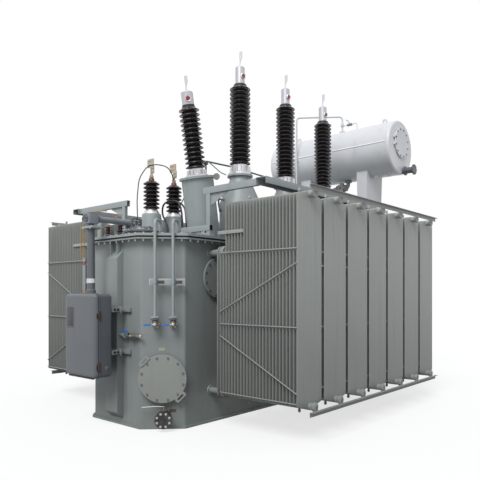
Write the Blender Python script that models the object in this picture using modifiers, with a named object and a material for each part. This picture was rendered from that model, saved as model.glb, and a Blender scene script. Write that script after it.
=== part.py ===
# Oil-filled power transformer with panel radiators, bushings and a conservator.
# Metres, +Z up. X runs across the tank, +Y runs away from the end with the drive cabinet.
# The origin is the middle of the tank's underside, on the ground.

import bpy
import bmesh
from math import cos, pi, radians, sin, sqrt
from mathutils import Matrix, Vector

# Clearance between pieces that bear on each other
SEAT = 0.0003
# Depth that joined shapes run into each other
BITE = 0.01

# Tank
TANK_HALF_WIDTH = 0.9225
TANK_LENGTH = 5.90
TANK_HEIGHT = 2.50
TANK_CHAMFER = 0.404
BASE_OVERHANG = 0.035
BASE_THICKNESS = 0.03
TANK_BEND = 0.10
BEND_STEPS = 3
RIM_OVERHANG = 0.10
RIM_THICKNESS = 0.03
COVER_THICKNESS = 0.045
STIFFENER_WIDTH = 0.37
STIFFENER_MIDDLE = 0.065
STIFFENER_DEPTH = 0.10
STIFFENER_BOTTOM = 0.15
STIFFENER_TOP_DROP = 0.16
STIFFENER_SLOPE = 0.10

# Radiators: a panel is a flat plate across the bank, and the headers run through the panels
RADIATOR_COUNT = 7
RADIATOR_PITCH = 0.58
RADIATOR_FIRST_RIGHT = -2.061
RADIATOR_FIRST_LEFT = -2.279
PANEL_WIDTH = 0.52
PANEL_THICKNESS = 0.012
PANEL_COUNT = 26
PANEL_STEP = 2
SHORT_PANELS = 3
PANEL_OUTER = 2.55
PANEL_FROM_STUB = 0.10
PANEL_SHOULDER = 0.03
PANEL_TIP = 0.032
HEADER_BOTTOM = 0.435
HEADER_OVER_TANK = 0.435
HEADER_SIZE = 0.10
HEADER_PAST_PANEL = 0.09
LEG_DROP = 0.62
NECK_FROM_TALL = 0.06
NECK_BEND = 0.05
STUB_LENGTH = 0.2775
STUB_RADIUS = 0.045
STUB_FLANGE_RADIUS = 0.08
STUB_FLANGE_THICKNESS = 0.035

# Rails that tie the outer ends of the headers together
RAIL_DEPTH = 0.045
RAIL_HEIGHT = 0.058
RAIL_THICKNESS = 0.006
RAIL_OVERRUN = 0.14
RAIL_OVERLAP_TOP = 0.023
RAIL_OVERLAP_BOTTOM = 0.010

# Tie bars across the near face of the first radiator of each bank
BRACE_BAR = 0.016
BRACE_STRAP_WIDTH = 0.03
# Their heights as shares of the distance between the headers
BRACE_SHARES = (0.024, 0.3756, 0.724)
BRACE_UPPER_SHARES = (0.438, 0.674)
BRACE_LOWER_SHARES = (0.314, 0.07)

# High-voltage bushings on conical turrets
HV_X = 0.55
HV_FIRST_Y = -1.02
HV_PITCH = 1.20
HV_COUNT = 3
HV_TURRET_HEIGHT = 1.065
HV_TURRET_RADIUS = 0.30
HV_TURRET_NECK = 0.18
HV_FLANGE_RADIUS = 0.20
HV_SHEDS = 18
HV_SHED_RADIUS = 0.1635
HV_CORE_RADIUS = 0.115
HV_FOOT_HEIGHT = 0.15
HV_PORCELAIN = 1.24
HV_CAP_HEIGHT = 0.31
HV_TERMINAL = 0.245

# Neutral bushing, leaning towards the drive end
NEUTRAL_X = 0.45
NEUTRAL_Y = -1.70
NEUTRAL_LEAN = 10.0
NEUTRAL_TURRET_HEIGHT = 0.93
NEUTRAL_TURRET_RADIUS = 0.235
NEUTRAL_SHEDS = 13
NEUTRAL_SHED_RADIUS = 0.15
NEUTRAL_CORE_RADIUS = 0.10
NEUTRAL_PORCELAIN = 0.87

# Low-voltage bushings
LV_X = -0.45
LV_FIRST_Y = -1.975
LV_PITCH = 0.465
LV_COUNT = 3
LV_TURRET_HEIGHT = 0.45
LV_TURRET_RADIUS = 0.16
LV_SHEDS = 7
LV_SHED_RADIUS = 0.128
LV_CORE_RADIUS = 0.075
LV_PORCELAIN = 0.43
LV_TERMINAL = 0.36

# Conservator drum on two saddle legs
CONSERVATOR_LEFT = -1.25
CONSERVATOR_RIGHT = 1.57
CONSERVATOR_RADIUS = 0.525
CONSERVATOR_DISH = 0.05
CONSERVATOR_Y = 2.584
CONSERVATOR_OVER_COVER = 2.065
CONSERVATOR_END_COVER = 0.29
CONSERVATOR_END_RISE = 0.085
CONSERVATOR_STUB_DROP = 0.44
CONSERVATOR_STUB_SIDE = 0.12
CONSERVATOR_STUB_RADIUS = 0.06
CONSERVATOR_STUB_REACH = 0.23
CONSERVATOR_EYE_X = (-0.82, 1.24)
CONSERVATOR_LEGS = (0.905, -0.435)
LEG_TOP_WIDTH = 0.24
LEG_BOTTOM_WIDTH = 0.13
LEG_DEPTH = 0.64

# Tap changer and its motor drive on the near end
OLTC_X = 0.05
OLTC_Y = -2.55
OLTC_RADIUS = 0.27
OLTC_HEIGHT = 0.16
OLTC_BOX = 0.16
OLTC_BOX_NEAR = 0.36
OLTC_BOX_FAR = 0.05
OLTC_BOX_BOTTOM = 0.14
OLTC_BOX_HEIGHT = 0.14
SHAFT_X = -0.09
SHAFT_Y = -3.30
SHAFT_RADIUS = 0.05
GEARBOX_SIZE = 0.15
GEARBOX_OVER_COVER = 0.2147
CABINET_LEFT = -0.445
CABINET_RIGHT = 0.25
CABINET_BACK = 0.249
CABINET_DEPTH = 0.278
CABINET_BOTTOM = 0.68
CABINET_TOP = 1.76
CABINET_CORNER = 0.035
BRACKET_HALF = 0.165
BRACKET_HEIGHT = 0.06
BRACKET_LOW = 0.31
BRACKET_HIGH = 0.21
DOOR_DEPTH = 0.07
DOOR_GAP = 0.008
HINGE_RADIUS = 0.007
HINGE_LENGTH = 0.03
HINGE_LEVELS = (0.90, 1.54)
# Distances of the window's edges from the door's left edge and from its top
WINDOW_SIDES = (0.05, 0.22)
WINDOW_DROPS = (0.17, 0.445)

# Round covers, pipes and valves of the near end and its right chamfer
MANHOLE_Z = 0.66
MANHOLE_RADIUS = 0.3125
MANHOLE_NECK = 0.07
COVER_PLATE = 0.025
COVER_LUG_RADIUS = 0.33
COVER_LUG = (0.16, 0.064)
COVER_LUG_SLOT = (0.10, 0.026)
COVER_LUG_THICKNESS = 0.012
NECK_SHARE = 0.8
HANDHOLE_Y = -1.95
HANDHOLE_DROP = 0.52
HANDHOLE_RADIUS = 0.28
HANDHOLE_NECK = 0.02
CHAMFER_PIPE_OFFSETS = (-0.09, 0.14)
CHAMFER_PIPE_RADIUS = 0.0165
CHAMFER_PIPE_REACH = 0.14
CHAMFER_PIPE_RISE = 0.2147
CHAMFER_PIPE_BEND = 0.06
CHAMFER_PIPE_INSET = 0.08
CHAMFER_VALVE_Z = 1.37
END_VALVE_Z = 1.21
END_VALVE_BODY = 0.035
DRAIN_Z = 0.155
DRAIN_RADIUS = 0.1115
DRAIN_REACH = 0.22

# Frames over the cover that carried the busbars
FRAME_OVER_COVER = 0.6847
FRAME_BEAM = 0.09
FRAME_BEAM_HALF = 0.03
FRAME_LENGTH = 2.84
FRAME_NEAR_RIGHT = -2.06
FRAME_NEAR_LEFT = -2.15
FRAME_OUT_RIGHT = 1.82
FRAME_OUT_LEFT = 2.18
FRAME_START = 0.80
FRAME_POST = (0.86, 0.93)
FRAME_FOOT = (0.70, 0.95)
FRAME_FOOT_HALF = 0.05
FRAME_LONG_BEAM = (0.05, 0.12)
FRAME_OVERRUN = 0.06

# Oil pipes between the cover and the conservator
RELAY_RADIUS = 0.04
RELAY_OUTLET_X = 0.464
RELAY_FAR_X = 0.10
RELAY_Y = 2.50
RELAY_DROP = 0.125
RELAY_FOOT_Y = 1.90
RELAY_BEND = 0.08
RELAY_BODY_X = 0.315
RELAY_BODY_HALF = 0.08
VENT_RADIUS = 0.025
VENT_X = 0.276
VENT_FAR_X = -0.49
VENT_FAR_Y = 2.0
VENT_RISE = 0.355
VENT_BEND = 0.07

COVER_TOP = TANK_HEIGHT + SEAT + COVER_THICKNESS
HEADER_TOP = TANK_HEIGHT + HEADER_OVER_TANK
LEG_LEVEL = HEADER_TOP - LEG_DROP
STUB_END = TANK_HALF_WIDTH + STUB_LENGTH
PANEL_PITCH = (PANEL_OUTER - STUB_END - PANEL_FROM_STUB) / (PANEL_COUNT - 1)
NECK_X = PANEL_OUTER - PANEL_PITCH * (PANEL_COUNT - SHORT_PANELS - 1) - NECK_FROM_TALL
HEADER_END = PANEL_OUTER + HEADER_PAST_PANEL
TANK_END = -TANK_LENGTH / 2
GEARBOX_Z = COVER_TOP + GEARBOX_OVER_COVER
FRAME_TOP = COVER_TOP + FRAME_OVER_COVER
CONSERVATOR_AXIS = COVER_TOP + CONSERVATOR_OVER_COVER
CONSERVATOR_TOP = CONSERVATOR_AXIS + CONSERVATOR_RADIUS

PAINT = ("radiator_paint", (0.235, 0.270, 0.245, 1.0), 0.45, 0.0)
DARK_PAINT = ("drive_paint", (0.165, 0.185, 0.215, 1.0), 0.45, 0.0)
WHITE_PAINT = ("conservator_paint", (0.62, 0.63, 0.64, 1.0), 0.45, 0.0)
PORCELAIN = ("porcelain", (0.022, 0.014, 0.013, 1.0), 0.18, 0.0)
BLACK_PAINT = ("black_paint", (0.02, 0.02, 0.022, 1.0), 0.5, 0.0)
LEVER_BLUE = ("lever_blue", (0.02, 0.10, 0.42, 1.0), 0.4, 0.0)


def clear_scene():
    for obj in list(bpy.data.objects):
        bpy.data.objects.remove(obj, do_unlink=True)


def make_collection(name):
    collection = bpy.data.collections.new(name)
    bpy.context.scene.collection.children.link(collection)
    return collection


def material(name, colour, roughness, metallic):
    found = bpy.data.materials.get(name)
    if found:
        return found
    made = bpy.data.materials.new(name)
    made.use_nodes = True
    shader = made.node_tree.nodes["Principled BSDF"]
    shader.inputs["Base Color"].default_value = colour
    shader.inputs["Roughness"].default_value = roughness
    shader.inputs["Metallic"].default_value = metallic
    made.diffuse_color = colour
    return made


def add_object(name, mesh, matrix=None):
    obj = bpy.data.objects.new(name, mesh)
    MODEL.objects.link(obj)
    if matrix is not None:
        obj.matrix_world = matrix
    return obj


def bake(obj, name=None):
    # Replaces an object and its modifiers, or a curve, by the plain mesh they give
    bpy.context.view_layer.update()
    evaluated = obj.evaluated_get(bpy.context.evaluated_depsgraph_get())
    mesh = bpy.data.meshes.new_from_object(evaluated)
    name = name or obj.name
    place = obj.matrix_world.copy()
    bpy.data.objects.remove(obj, do_unlink=True)
    work = bmesh.new()
    work.from_mesh(mesh)
    bmesh.ops.transform(work, matrix=place, verts=work.verts)
    bmesh.ops.remove_doubles(work, verts=work.verts, dist=0.00005)
    work.to_mesh(mesh)
    work.free()
    mesh.name = name
    return add_object(name, mesh)


def block(name, low, high):
    # A box between two opposite corners
    work = bmesh.new()
    bmesh.ops.create_cube(work, size=1.0)
    size = Vector(high) - Vector(low)
    middle = (Vector(high) + Vector(low)) / 2
    bmesh.ops.scale(work, vec=size, verts=work.verts)
    bmesh.ops.translate(work, vec=middle, verts=work.verts)
    mesh = bpy.data.meshes.new(name)
    work.to_mesh(mesh)
    work.free()
    return add_object(name, mesh)


def plate(name, points, thickness, matrix):
    # A flat outline in the local XY plane, extruded to both sides of it
    curve = bpy.data.curves.new(name, "CURVE")
    curve.dimensions = "2D"
    curve.fill_mode = "BOTH"
    curve.extrude = thickness / 2
    spline = curve.splines.new("POLY")
    spline.points.add(len(points) - 1)
    for point, (u, v) in zip(spline.points, points):
        point.co = (u, v, 0.0, 1.0)
    spline.use_cyclic_u = True
    obj = add_object(name, curve, matrix)
    return bake(obj)


def upright(x, y, z):
    # Local XY lies level: an outline seen from above
    return Matrix.Translation((x, y, z))


def facing_x(x):
    # Local X becomes world Y and local Y becomes world Z: an outline seen along X
    return Matrix(((0, 0, 1, x), (1, 0, 0, 0), (0, 1, 0, 0), (0, 0, 0, 1)))


def facing_y(y):
    # Local X stays world X and local Y becomes world Z: an outline seen along Y
    return Matrix(((1, 0, 0, 0), (0, 0, -1, y), (0, 1, 0, 0), (0, 0, 0, 1)))


def pointing(position, direction):
    # Local Z points along the direction, with local Y kept as near to world Z as it can be
    axis = Vector(direction).normalized()
    turn = axis.to_track_quat("Z", "Y").to_matrix().to_4x4()
    return Matrix.Translation(position) @ turn


def turned(name, profile, sides, matrix):
    # A turned shape: the profile lists (radius, height) from the top down the outer side
    mesh = bpy.data.meshes.new(name)
    points = [(radius, 0.0, height) for radius, height in profile]
    mesh.from_pydata(points, [(i, i + 1) for i in range(len(points) - 1)], [])
    obj = add_object(name, mesh, matrix)
    screw = obj.modifiers.new("turn", "SCREW")
    screw.angle = 2 * pi
    screw.steps = sides
    screw.render_steps = sides
    screw.use_merge_vertices = True
    screw.merge_threshold = 0.0001
    return bake(obj)


def tube(name, points, radius, resolution=1, tilt=0.0):
    # A pipe or bar along a list of points, with closed ends
    curve = bpy.data.curves.new(name, "CURVE")
    curve.dimensions = "3D"
    curve.bevel_depth = radius
    curve.bevel_resolution = resolution
    curve.use_fill_caps = True
    spline = curve.splines.new("POLY")
    spline.points.add(len(points) - 1)
    for point, place in zip(spline.points, points):
        point.co = (*place, 1.0)
        point.tilt = tilt
    return bake(add_object(name, curve))


def square_tube(name, points, size):
    # A square section with flat top and sides
    return tube(name, points, size / sqrt(2), resolution=0, tilt=radians(45))


def copies(obj, places, name=None):
    # One mesh that holds a copy of the object at each place
    name = name or obj.name
    work = bmesh.new()
    for place in places:
        before = set(work.verts)
        work.from_mesh(obj.data)
        fresh = [vert for vert in work.verts if vert not in before]
        bmesh.ops.transform(work, matrix=place, verts=fresh)
        if place.determinant() < 0:
            faces = {face for vert in fresh for face in vert.link_faces}
            bmesh.ops.reverse_faces(work, faces=list(faces))
    mesh = bpy.data.meshes.new(name)
    work.to_mesh(mesh)
    work.free()
    bpy.data.objects.remove(obj, do_unlink=True)
    return add_object(name, mesh)


def boolean(base, tools, operation, name):
    for tool in tools:
        change = base.modifiers.new(tool.name, "BOOLEAN")
        change.operation = operation
        change.solver = "EXACT"
        change.object = tool
    result = bake(base, name)
    for tool in tools:
        bpy.data.objects.remove(tool, do_unlink=True)
    return result


def fuse(name, base, *tools):
    return boolean(base, tools, "UNION", name)


def cut(name, base, *tools):
    return boolean(base, tools, "DIFFERENCE", name)


def finish(obj, name, paint, smooth_angle=35):
    obj.name = name
    obj.data.name = name
    obj.data.materials.clear()
    obj.data.materials.append(material(*paint))
    obj.data.shade_smooth()
    obj.data.set_sharp_from_angle(angle=radians(smooth_angle))
    return obj


def tank_outline(margin):
    # Plan of the tank, square at the far end and chamfered at both near corners
    half = TANK_HALF_WIDTH + margin
    end = TANK_LENGTH / 2 + margin
    leg = TANK_CHAMFER + margin * (2 - sqrt(2))
    return [(-half, end), (-half, -end + leg), (-half + leg, -end),
            (half - leg, -end), (half, -end + leg), (half, end)]


def bent(points, reach, steps):
    # The same outline with each corner bent round
    made = []
    for i, point in enumerate(points):
        here = Vector(point)
        start = here + (Vector(points[i - 1]) - here).normalized() * reach
        end = here + (Vector(points[(i + 1) % len(points)]) - here).normalized() * reach
        for step in range(steps + 1):
            t = step / steps
            place = start * (1 - t) ** 2 + here * 2 * t * (1 - t) + end * t ** 2
            made.append((place.x, place.y))
    return made


def chamfer_point(along, height, out=0.0):
    # A place on the right chamfer: along it to the right, up, and out from its face
    middle_x = TANK_HALF_WIDTH - TANK_CHAMFER / 2
    middle_y = TANK_END + TANK_CHAMFER / 2
    step = 1 / sqrt(2)
    return Vector((middle_x + (along + out) * step, middle_y + (along - out) * step, height))


CHAMFER_OUT = Vector((1.0, -1.0, 0.0)).normalized()


def radiator_rows():
    right = [RADIATOR_FIRST_RIGHT + RADIATOR_PITCH * i for i in range(RADIATOR_COUNT)]
    left = [RADIATOR_FIRST_LEFT + RADIATOR_PITCH * i for i in range(RADIATOR_COUNT)]
    return right, left


def make_tank():
    outline = bent(tank_outline(0), TANK_BEND, BEND_STEPS)
    body = plate("tank_body", outline, TANK_HEIGHT - 2 * BITE, upright(0, 0, TANK_HEIGHT / 2))
    foot = plate("foot", tank_outline(BASE_OVERHANG), BASE_THICKNESS, upright(0, 0, BASE_THICKNESS / 2))
    rim_z = TANK_HEIGHT - RIM_THICKNESS / 2
    rim = plate("rim", tank_outline(RIM_OVERHANG), RIM_THICKNESS, upright(0, 0, rim_z))
    parts = [foot, rim]

    # Box stiffeners with sloped ends on both end walls
    reach = TANK_LENGTH / 2 + STIFFENER_DEPTH
    top = TANK_HEIGHT - STIFFENER_TOP_DROP
    side = [(TANK_LENGTH / 2 - BITE, STIFFENER_BOTTOM), (reach, STIFFENER_BOTTOM + STIFFENER_SLOPE),
            (reach, top - STIFFENER_SLOPE), (TANK_LENGTH / 2 - BITE, top)]
    near = [(-y, z) for y, z in side]
    parts.append(plate("near_stiffener", near, STIFFENER_WIDTH, facing_x(STIFFENER_MIDDLE)))
    parts.append(plate("far_stiffener", side, STIFFENER_WIDTH, facing_x(STIFFENER_MIDDLE)))

    # Stubs that the radiators are bolted to
    length = STUB_LENGTH - STUB_FLANGE_THICKNESS
    profile = [(0, STUB_LENGTH), (STUB_FLANGE_RADIUS, STUB_LENGTH), (STUB_FLANGE_RADIUS, length),
               (STUB_RADIUS, length), (STUB_RADIUS, -BITE), (0, -BITE)]
    stub = turned("stub", profile, 6, Matrix())
    places = []
    right, left = radiator_rows()
    for level in (HEADER_BOTTOM, LEG_LEVEL):
        for y in right:
            places.append(pointing((TANK_HALF_WIDTH, y, level), (1, 0, 0)))
        for y in left:
            places.append(pointing((-TANK_HALF_WIDTH, y, level), (-1, 0, 0)))
    parts.append(copies(stub, places, "stubs"))

    # Necks behind the two round covers, the first one deep enough to meet the bent wall
    radius = MANHOLE_RADIUS * NECK_SHARE
    neck = [(0, MANHOLE_NECK), (radius, MANHOLE_NECK), (radius, -MANHOLE_NECK), (0, -MANHOLE_NECK)]
    parts.append(turned("manhole_neck", neck, 16, pointing(chamfer_point(0, MANHOLE_Z), CHAMFER_OUT)))
    radius = HANDHOLE_RADIUS * NECK_SHARE
    neck = [(0, HANDHOLE_NECK), (radius, HANDHOLE_NECK), (radius, -BITE), (0, -BITE)]
    place = pointing((TANK_HALF_WIDTH, HANDHOLE_Y, TANK_HEIGHT - HANDHOLE_DROP), (1, 0, 0))
    parts.append(turned("handhole_neck", neck, 16, place))

    # Brackets that the drive cabinet hangs on
    wall = TANK_END - STIFFENER_DEPTH + BITE
    half = BRACKET_HEIGHT / 2
    for level in (CABINET_BOTTOM + BRACKET_LOW, CABINET_TOP - BRACKET_HIGH):
        low = (STIFFENER_MIDDLE - BRACKET_HALF, TANK_END - CABINET_BACK + SEAT, level - half)
        high = (STIFFENER_MIDDLE + BRACKET_HALF, wall, level + half)
        parts.append(block("bracket", low, high))
    return finish(fuse("tank_shell", body, *parts), "tank_shell", PAINT)


def make_cover():
    level = TANK_HEIGHT + SEAT + COVER_THICKNESS / 2
    cover = plate("tank_cover", tank_outline(RIM_OVERHANG), COVER_THICKNESS, upright(0, 0, level))
    return finish(cover, "tank_cover", PAINT)


def panel_outline(bottom, top):
    # One panel seen along the header: full width between the shoulders, tapered to both headers
    half = PANEL_WIDTH / 2
    low = bottom + PANEL_SHOULDER
    high = top - PANEL_SHOULDER
    past = HEADER_SIZE / 2 * 0.7
    return [(-half, low), (-PANEL_TIP, bottom - past), (PANEL_TIP, bottom - past), (half, low),
            (half, high), (PANEL_TIP, top + past), (-PANEL_TIP, top + past), (-half, high)]


def make_radiator_mesh():
    # Modelled for the right bank about y = 0, with every second panel of the real one
    tall_x = []
    short_x = []
    for i in range(0, PANEL_COUNT, PANEL_STEP):
        x = PANEL_OUTER - PANEL_PITCH * i
        if i < PANEL_COUNT - SHORT_PANELS:
            tall_x.append(x)
        else:
            short_x.append(x)
    tall = plate("tall", panel_outline(HEADER_BOTTOM, HEADER_TOP), PANEL_THICKNESS, facing_x(0))
    tall = copies(tall, [Matrix.Translation((x, 0, 0)) for x in tall_x], "tall_panels")
    short = plate("short", panel_outline(HEADER_BOTTOM, LEG_LEVEL), PANEL_THICKNESS, facing_x(0))
    short = copies(short, [Matrix.Translation((x, 0, 0)) for x in short_x], "short_panels")

    start = STUB_END + SEAT
    bend = NECK_BEND
    lower = [(HEADER_END, 0, HEADER_BOTTOM), (start, 0, HEADER_BOTTOM)]
    upper = [(HEADER_END, 0, HEADER_TOP), (NECK_X + bend, 0, HEADER_TOP),
             (NECK_X, 0, HEADER_TOP - bend), (NECK_X, 0, LEG_LEVEL + bend),
             (NECK_X - bend, 0, LEG_LEVEL), (start, 0, LEG_LEVEL)]
    bottom_header = square_tube("bottom_header", lower, HEADER_SIZE)
    top_header = square_tube("top_header", upper, HEADER_SIZE)
    return fuse("radiator", bottom_header, tall, short, top_header)


def make_radiators():
    master = make_radiator_mesh()
    mesh = master.data
    bpy.data.objects.remove(master, do_unlink=True)
    right, left = radiator_rows()
    for i, y in enumerate(right):
        radiator = add_object(f"radiator_right_{i + 1}", mesh, Matrix.Translation((0, y, 0)))
        finish(radiator, radiator.name, PAINT)
    for i, y in enumerate(left):
        place = Matrix.Translation((0, y, 0)) @ Matrix.Rotation(pi, 4, "Z")
        radiator = add_object(f"radiator_left_{i + 1}", mesh, place)
        finish(radiator, radiator.name, PAINT)
    mesh.name = "radiator"


def make_rail(name, side, rows, bottom):
    # An angle bar on the header ends: an upright leg against them and a level leg outwards
    height, depth, wall = RAIL_HEIGHT, RAIL_DEPTH, RAIL_THICKNESS
    outline = [(0, 0), (wall, 0), (wall, height - wall), (depth, height - wall), (depth, height), (0, height)]
    start = HEADER_END + SEAT
    points = [(side * (start + u), bottom + v) for u, v in outline]
    length = rows[-1] - rows[0] + 2 * RAIL_OVERRUN
    middle = (rows[-1] + rows[0]) / 2
    rail = plate(name, points, length, facing_y(middle))
    return finish(rail, name, PAINT)


def make_rails():
    right, left = radiator_rows()
    top = HEADER_TOP + HEADER_SIZE / 2 - RAIL_OVERLAP_TOP
    bottom = HEADER_BOTTOM - HEADER_SIZE / 2 + RAIL_OVERLAP_BOTTOM - RAIL_HEIGHT
    make_rail("rail_right_top", 1, right, top)
    make_rail("rail_right_bottom", 1, right, bottom)
    make_rail("rail_left_top", -1, left, top)
    make_rail("rail_left_bottom", -1, left, bottom)


def make_brace(name, side, first_row):
    # Straps on the first and last full panels with tie bars and two diagonals between them
    near = first_row - PANEL_WIDTH / 2 - SEAT
    depth = BRACE_BAR
    inner = PANEL_OUTER - PANEL_PITCH * (PANEL_COUNT - 2)
    outer = PANEL_OUTER
    half = BRACE_STRAP_WIDTH / 2
    span = HEADER_TOP - HEADER_BOTTOM
    low = HEADER_BOTTOM + BRACE_SHARES[0] * span - BRACE_BAR / 2
    high = HEADER_BOTTOM + BRACE_SHARES[-1] * span + BRACE_BAR / 2
    straps = []
    for x in (inner, outer):
        ends = sorted((side * (x - half), side * (x + half)))
        straps.append(block("strap", (ends[0], near - depth, low), (ends[1], near, high)))
    bars = [(level, level) for level in BRACE_SHARES]
    bars += [BRACE_UPPER_SHARES, BRACE_LOWER_SHARES]
    parts = [straps[1]]
    middle = near - depth / 2
    for z_in, z_out in bars:
        reach = BRACE_STRAP_WIDTH / 4
        points = [(side * (inner - reach), middle, HEADER_BOTTOM + z_in * span),
                  (side * (outer + reach), middle, HEADER_BOTTOM + z_out * span)]
        parts.append(square_tube("bar", points, BRACE_BAR * 0.7))
    return finish(fuse(name, straps[0], *parts), name, PAINT)


def bushing_profile(foot, sheds, porcelain, core, shed, cap_radius, cap, stem):
    # Foot, ribbed porcelain, metal cap and stem as one turned outline from the top down
    top = foot + porcelain + cap + stem
    points = [(0, top), (0.02, top), (0.02, top - stem), (cap_radius, top - stem),
              (cap_radius, foot + porcelain), (core, foot + porcelain)]
    pitch = porcelain / sheds
    for i in range(sheds):
        ridge = foot + porcelain - pitch * (i + 0.45)
        points.append((shed, ridge))
        points.append((core, ridge - pitch * 0.5))
    points += [(core * 1.05, foot * 0.25), (core * 1.6, foot * 0.25), (core * 1.6, 0), (0, 0)]
    return points


def add_flag(name, bushing, place, height, width, tall):
    # The flat terminal that a line is bolted to, on top of the stem
    flag = block("flag", (-width / 2, -0.006, height - 0.03), (width / 2, 0.006, height + tall))
    flag.matrix_world = place
    return fuse(name, bushing, bake(flag))


def make_hv_bushings():
    base = COVER_TOP + SEAT
    height = HV_TURRET_HEIGHT
    radius, neck, flange = HV_TURRET_RADIUS, HV_TURRET_NECK, HV_FLANGE_RADIUS
    turret = [(0, height), (flange, height), (flange, height - 0.04), (neck, height - 0.04),
              (neck, height - 0.10), (radius, height - 0.42), (radius, 0.03), (radius + 0.05, 0.03),
              (radius + 0.05, 0), (0, 0)]
    bushing = bushing_profile(HV_FOOT_HEIGHT, HV_SHEDS, HV_PORCELAIN, HV_CORE_RADIUS, HV_SHED_RADIUS,
                              0.10, HV_CAP_HEIGHT, HV_TERMINAL * 0.5)
    stem_top = HV_FOOT_HEIGHT + HV_PORCELAIN + HV_CAP_HEIGHT + HV_TERMINAL * 0.5
    for i in range(HV_COUNT):
        y = HV_FIRST_Y + HV_PITCH * i
        name = f"hv_turret_{i + 1}"
        finish(turned(name, turret, 12, upright(HV_X, y, base)), name, PAINT)
        name = f"hv_bushing_{i + 1}"
        place = upright(HV_X, y, base + height + SEAT)
        part = turned(name, bushing, 8, place)
        part = add_flag(name, part, place, stem_top, 0.05, HV_TERMINAL * 0.5)
        finish(part, name, PORCELAIN)


def make_neutral_bushing():
    lean = Matrix.Rotation(radians(NEUTRAL_LEAN), 4, "X")
    base = COVER_TOP + SEAT
    height = NEUTRAL_TURRET_HEIGHT
    radius = NEUTRAL_TURRET_RADIUS
    place = upright(NEUTRAL_X, NEUTRAL_Y, base) @ lean
    tall = [(0, height), (radius + 0.03, height), (radius + 0.03, height - 0.04), (radius, height - 0.04),
            (radius, -0.05), (0, -0.05)]
    turret = turned("neutral_turret", tall, 12, place)
    pad = [(0, 0.05), (radius + 0.08, 0.05), (radius + 0.08, 0), (0, 0)]
    foot = turned("pad", pad, 12, upright(NEUTRAL_X, NEUTRAL_Y, base))
    under = block("under", (NEUTRAL_X - 1, NEUTRAL_Y - 1, base - 1), (NEUTRAL_X + 1, NEUTRAL_Y + 1, base))
    turret = cut("neutral_turret", turret, under)
    finish(fuse("neutral_turret", foot, turret), "neutral_turret", PAINT)
    profile = bushing_profile(0.12, NEUTRAL_SHEDS, NEUTRAL_PORCELAIN, NEUTRAL_CORE_RADIUS,
                              NEUTRAL_SHED_RADIUS, 0.09, 0.22, 0.10)
    place = place @ Matrix.Translation((0, 0, height + SEAT))
    part = turned("neutral_bushing", profile, 8, place)
    part = add_flag("neutral_bushing", part, place, 0.12 + NEUTRAL_PORCELAIN + 0.22 + 0.10, 0.05, 0.12)
    finish(part, "neutral_bushing", PORCELAIN)


def make_lv_bushings():
    base = COVER_TOP + SEAT
    height = LV_TURRET_HEIGHT
    radius = LV_TURRET_RADIUS
    foot = 0.08
    porcelain = bushing_profile(foot, LV_SHEDS, LV_PORCELAIN, LV_CORE_RADIUS, LV_SHED_RADIUS,
                                0.045, 0.05, 0.10)
    # The bushing stands on its own short turret and shares the outline with it
    profile = [(r, z + height) for r, z in porcelain[:-2]]
    profile += [(LV_CORE_RADIUS * 1.6, height), (radius * 0.8, height), (radius, 0.03), (radius + 0.04, 0.03),
                (radius + 0.04, 0), (0, 0)]
    stem_top = height + foot + LV_PORCELAIN + 0.15
    for i in range(LV_COUNT):
        name = f"lv_bushing_{i + 1}"
        place = upright(LV_X, LV_FIRST_Y + LV_PITCH * i, base)
        part = turned(name, profile, 8, place)
        part = add_flag(name, part, place, stem_top, 0.09, LV_TERMINAL - 0.15)
        finish(part, name, PORCELAIN)


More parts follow.
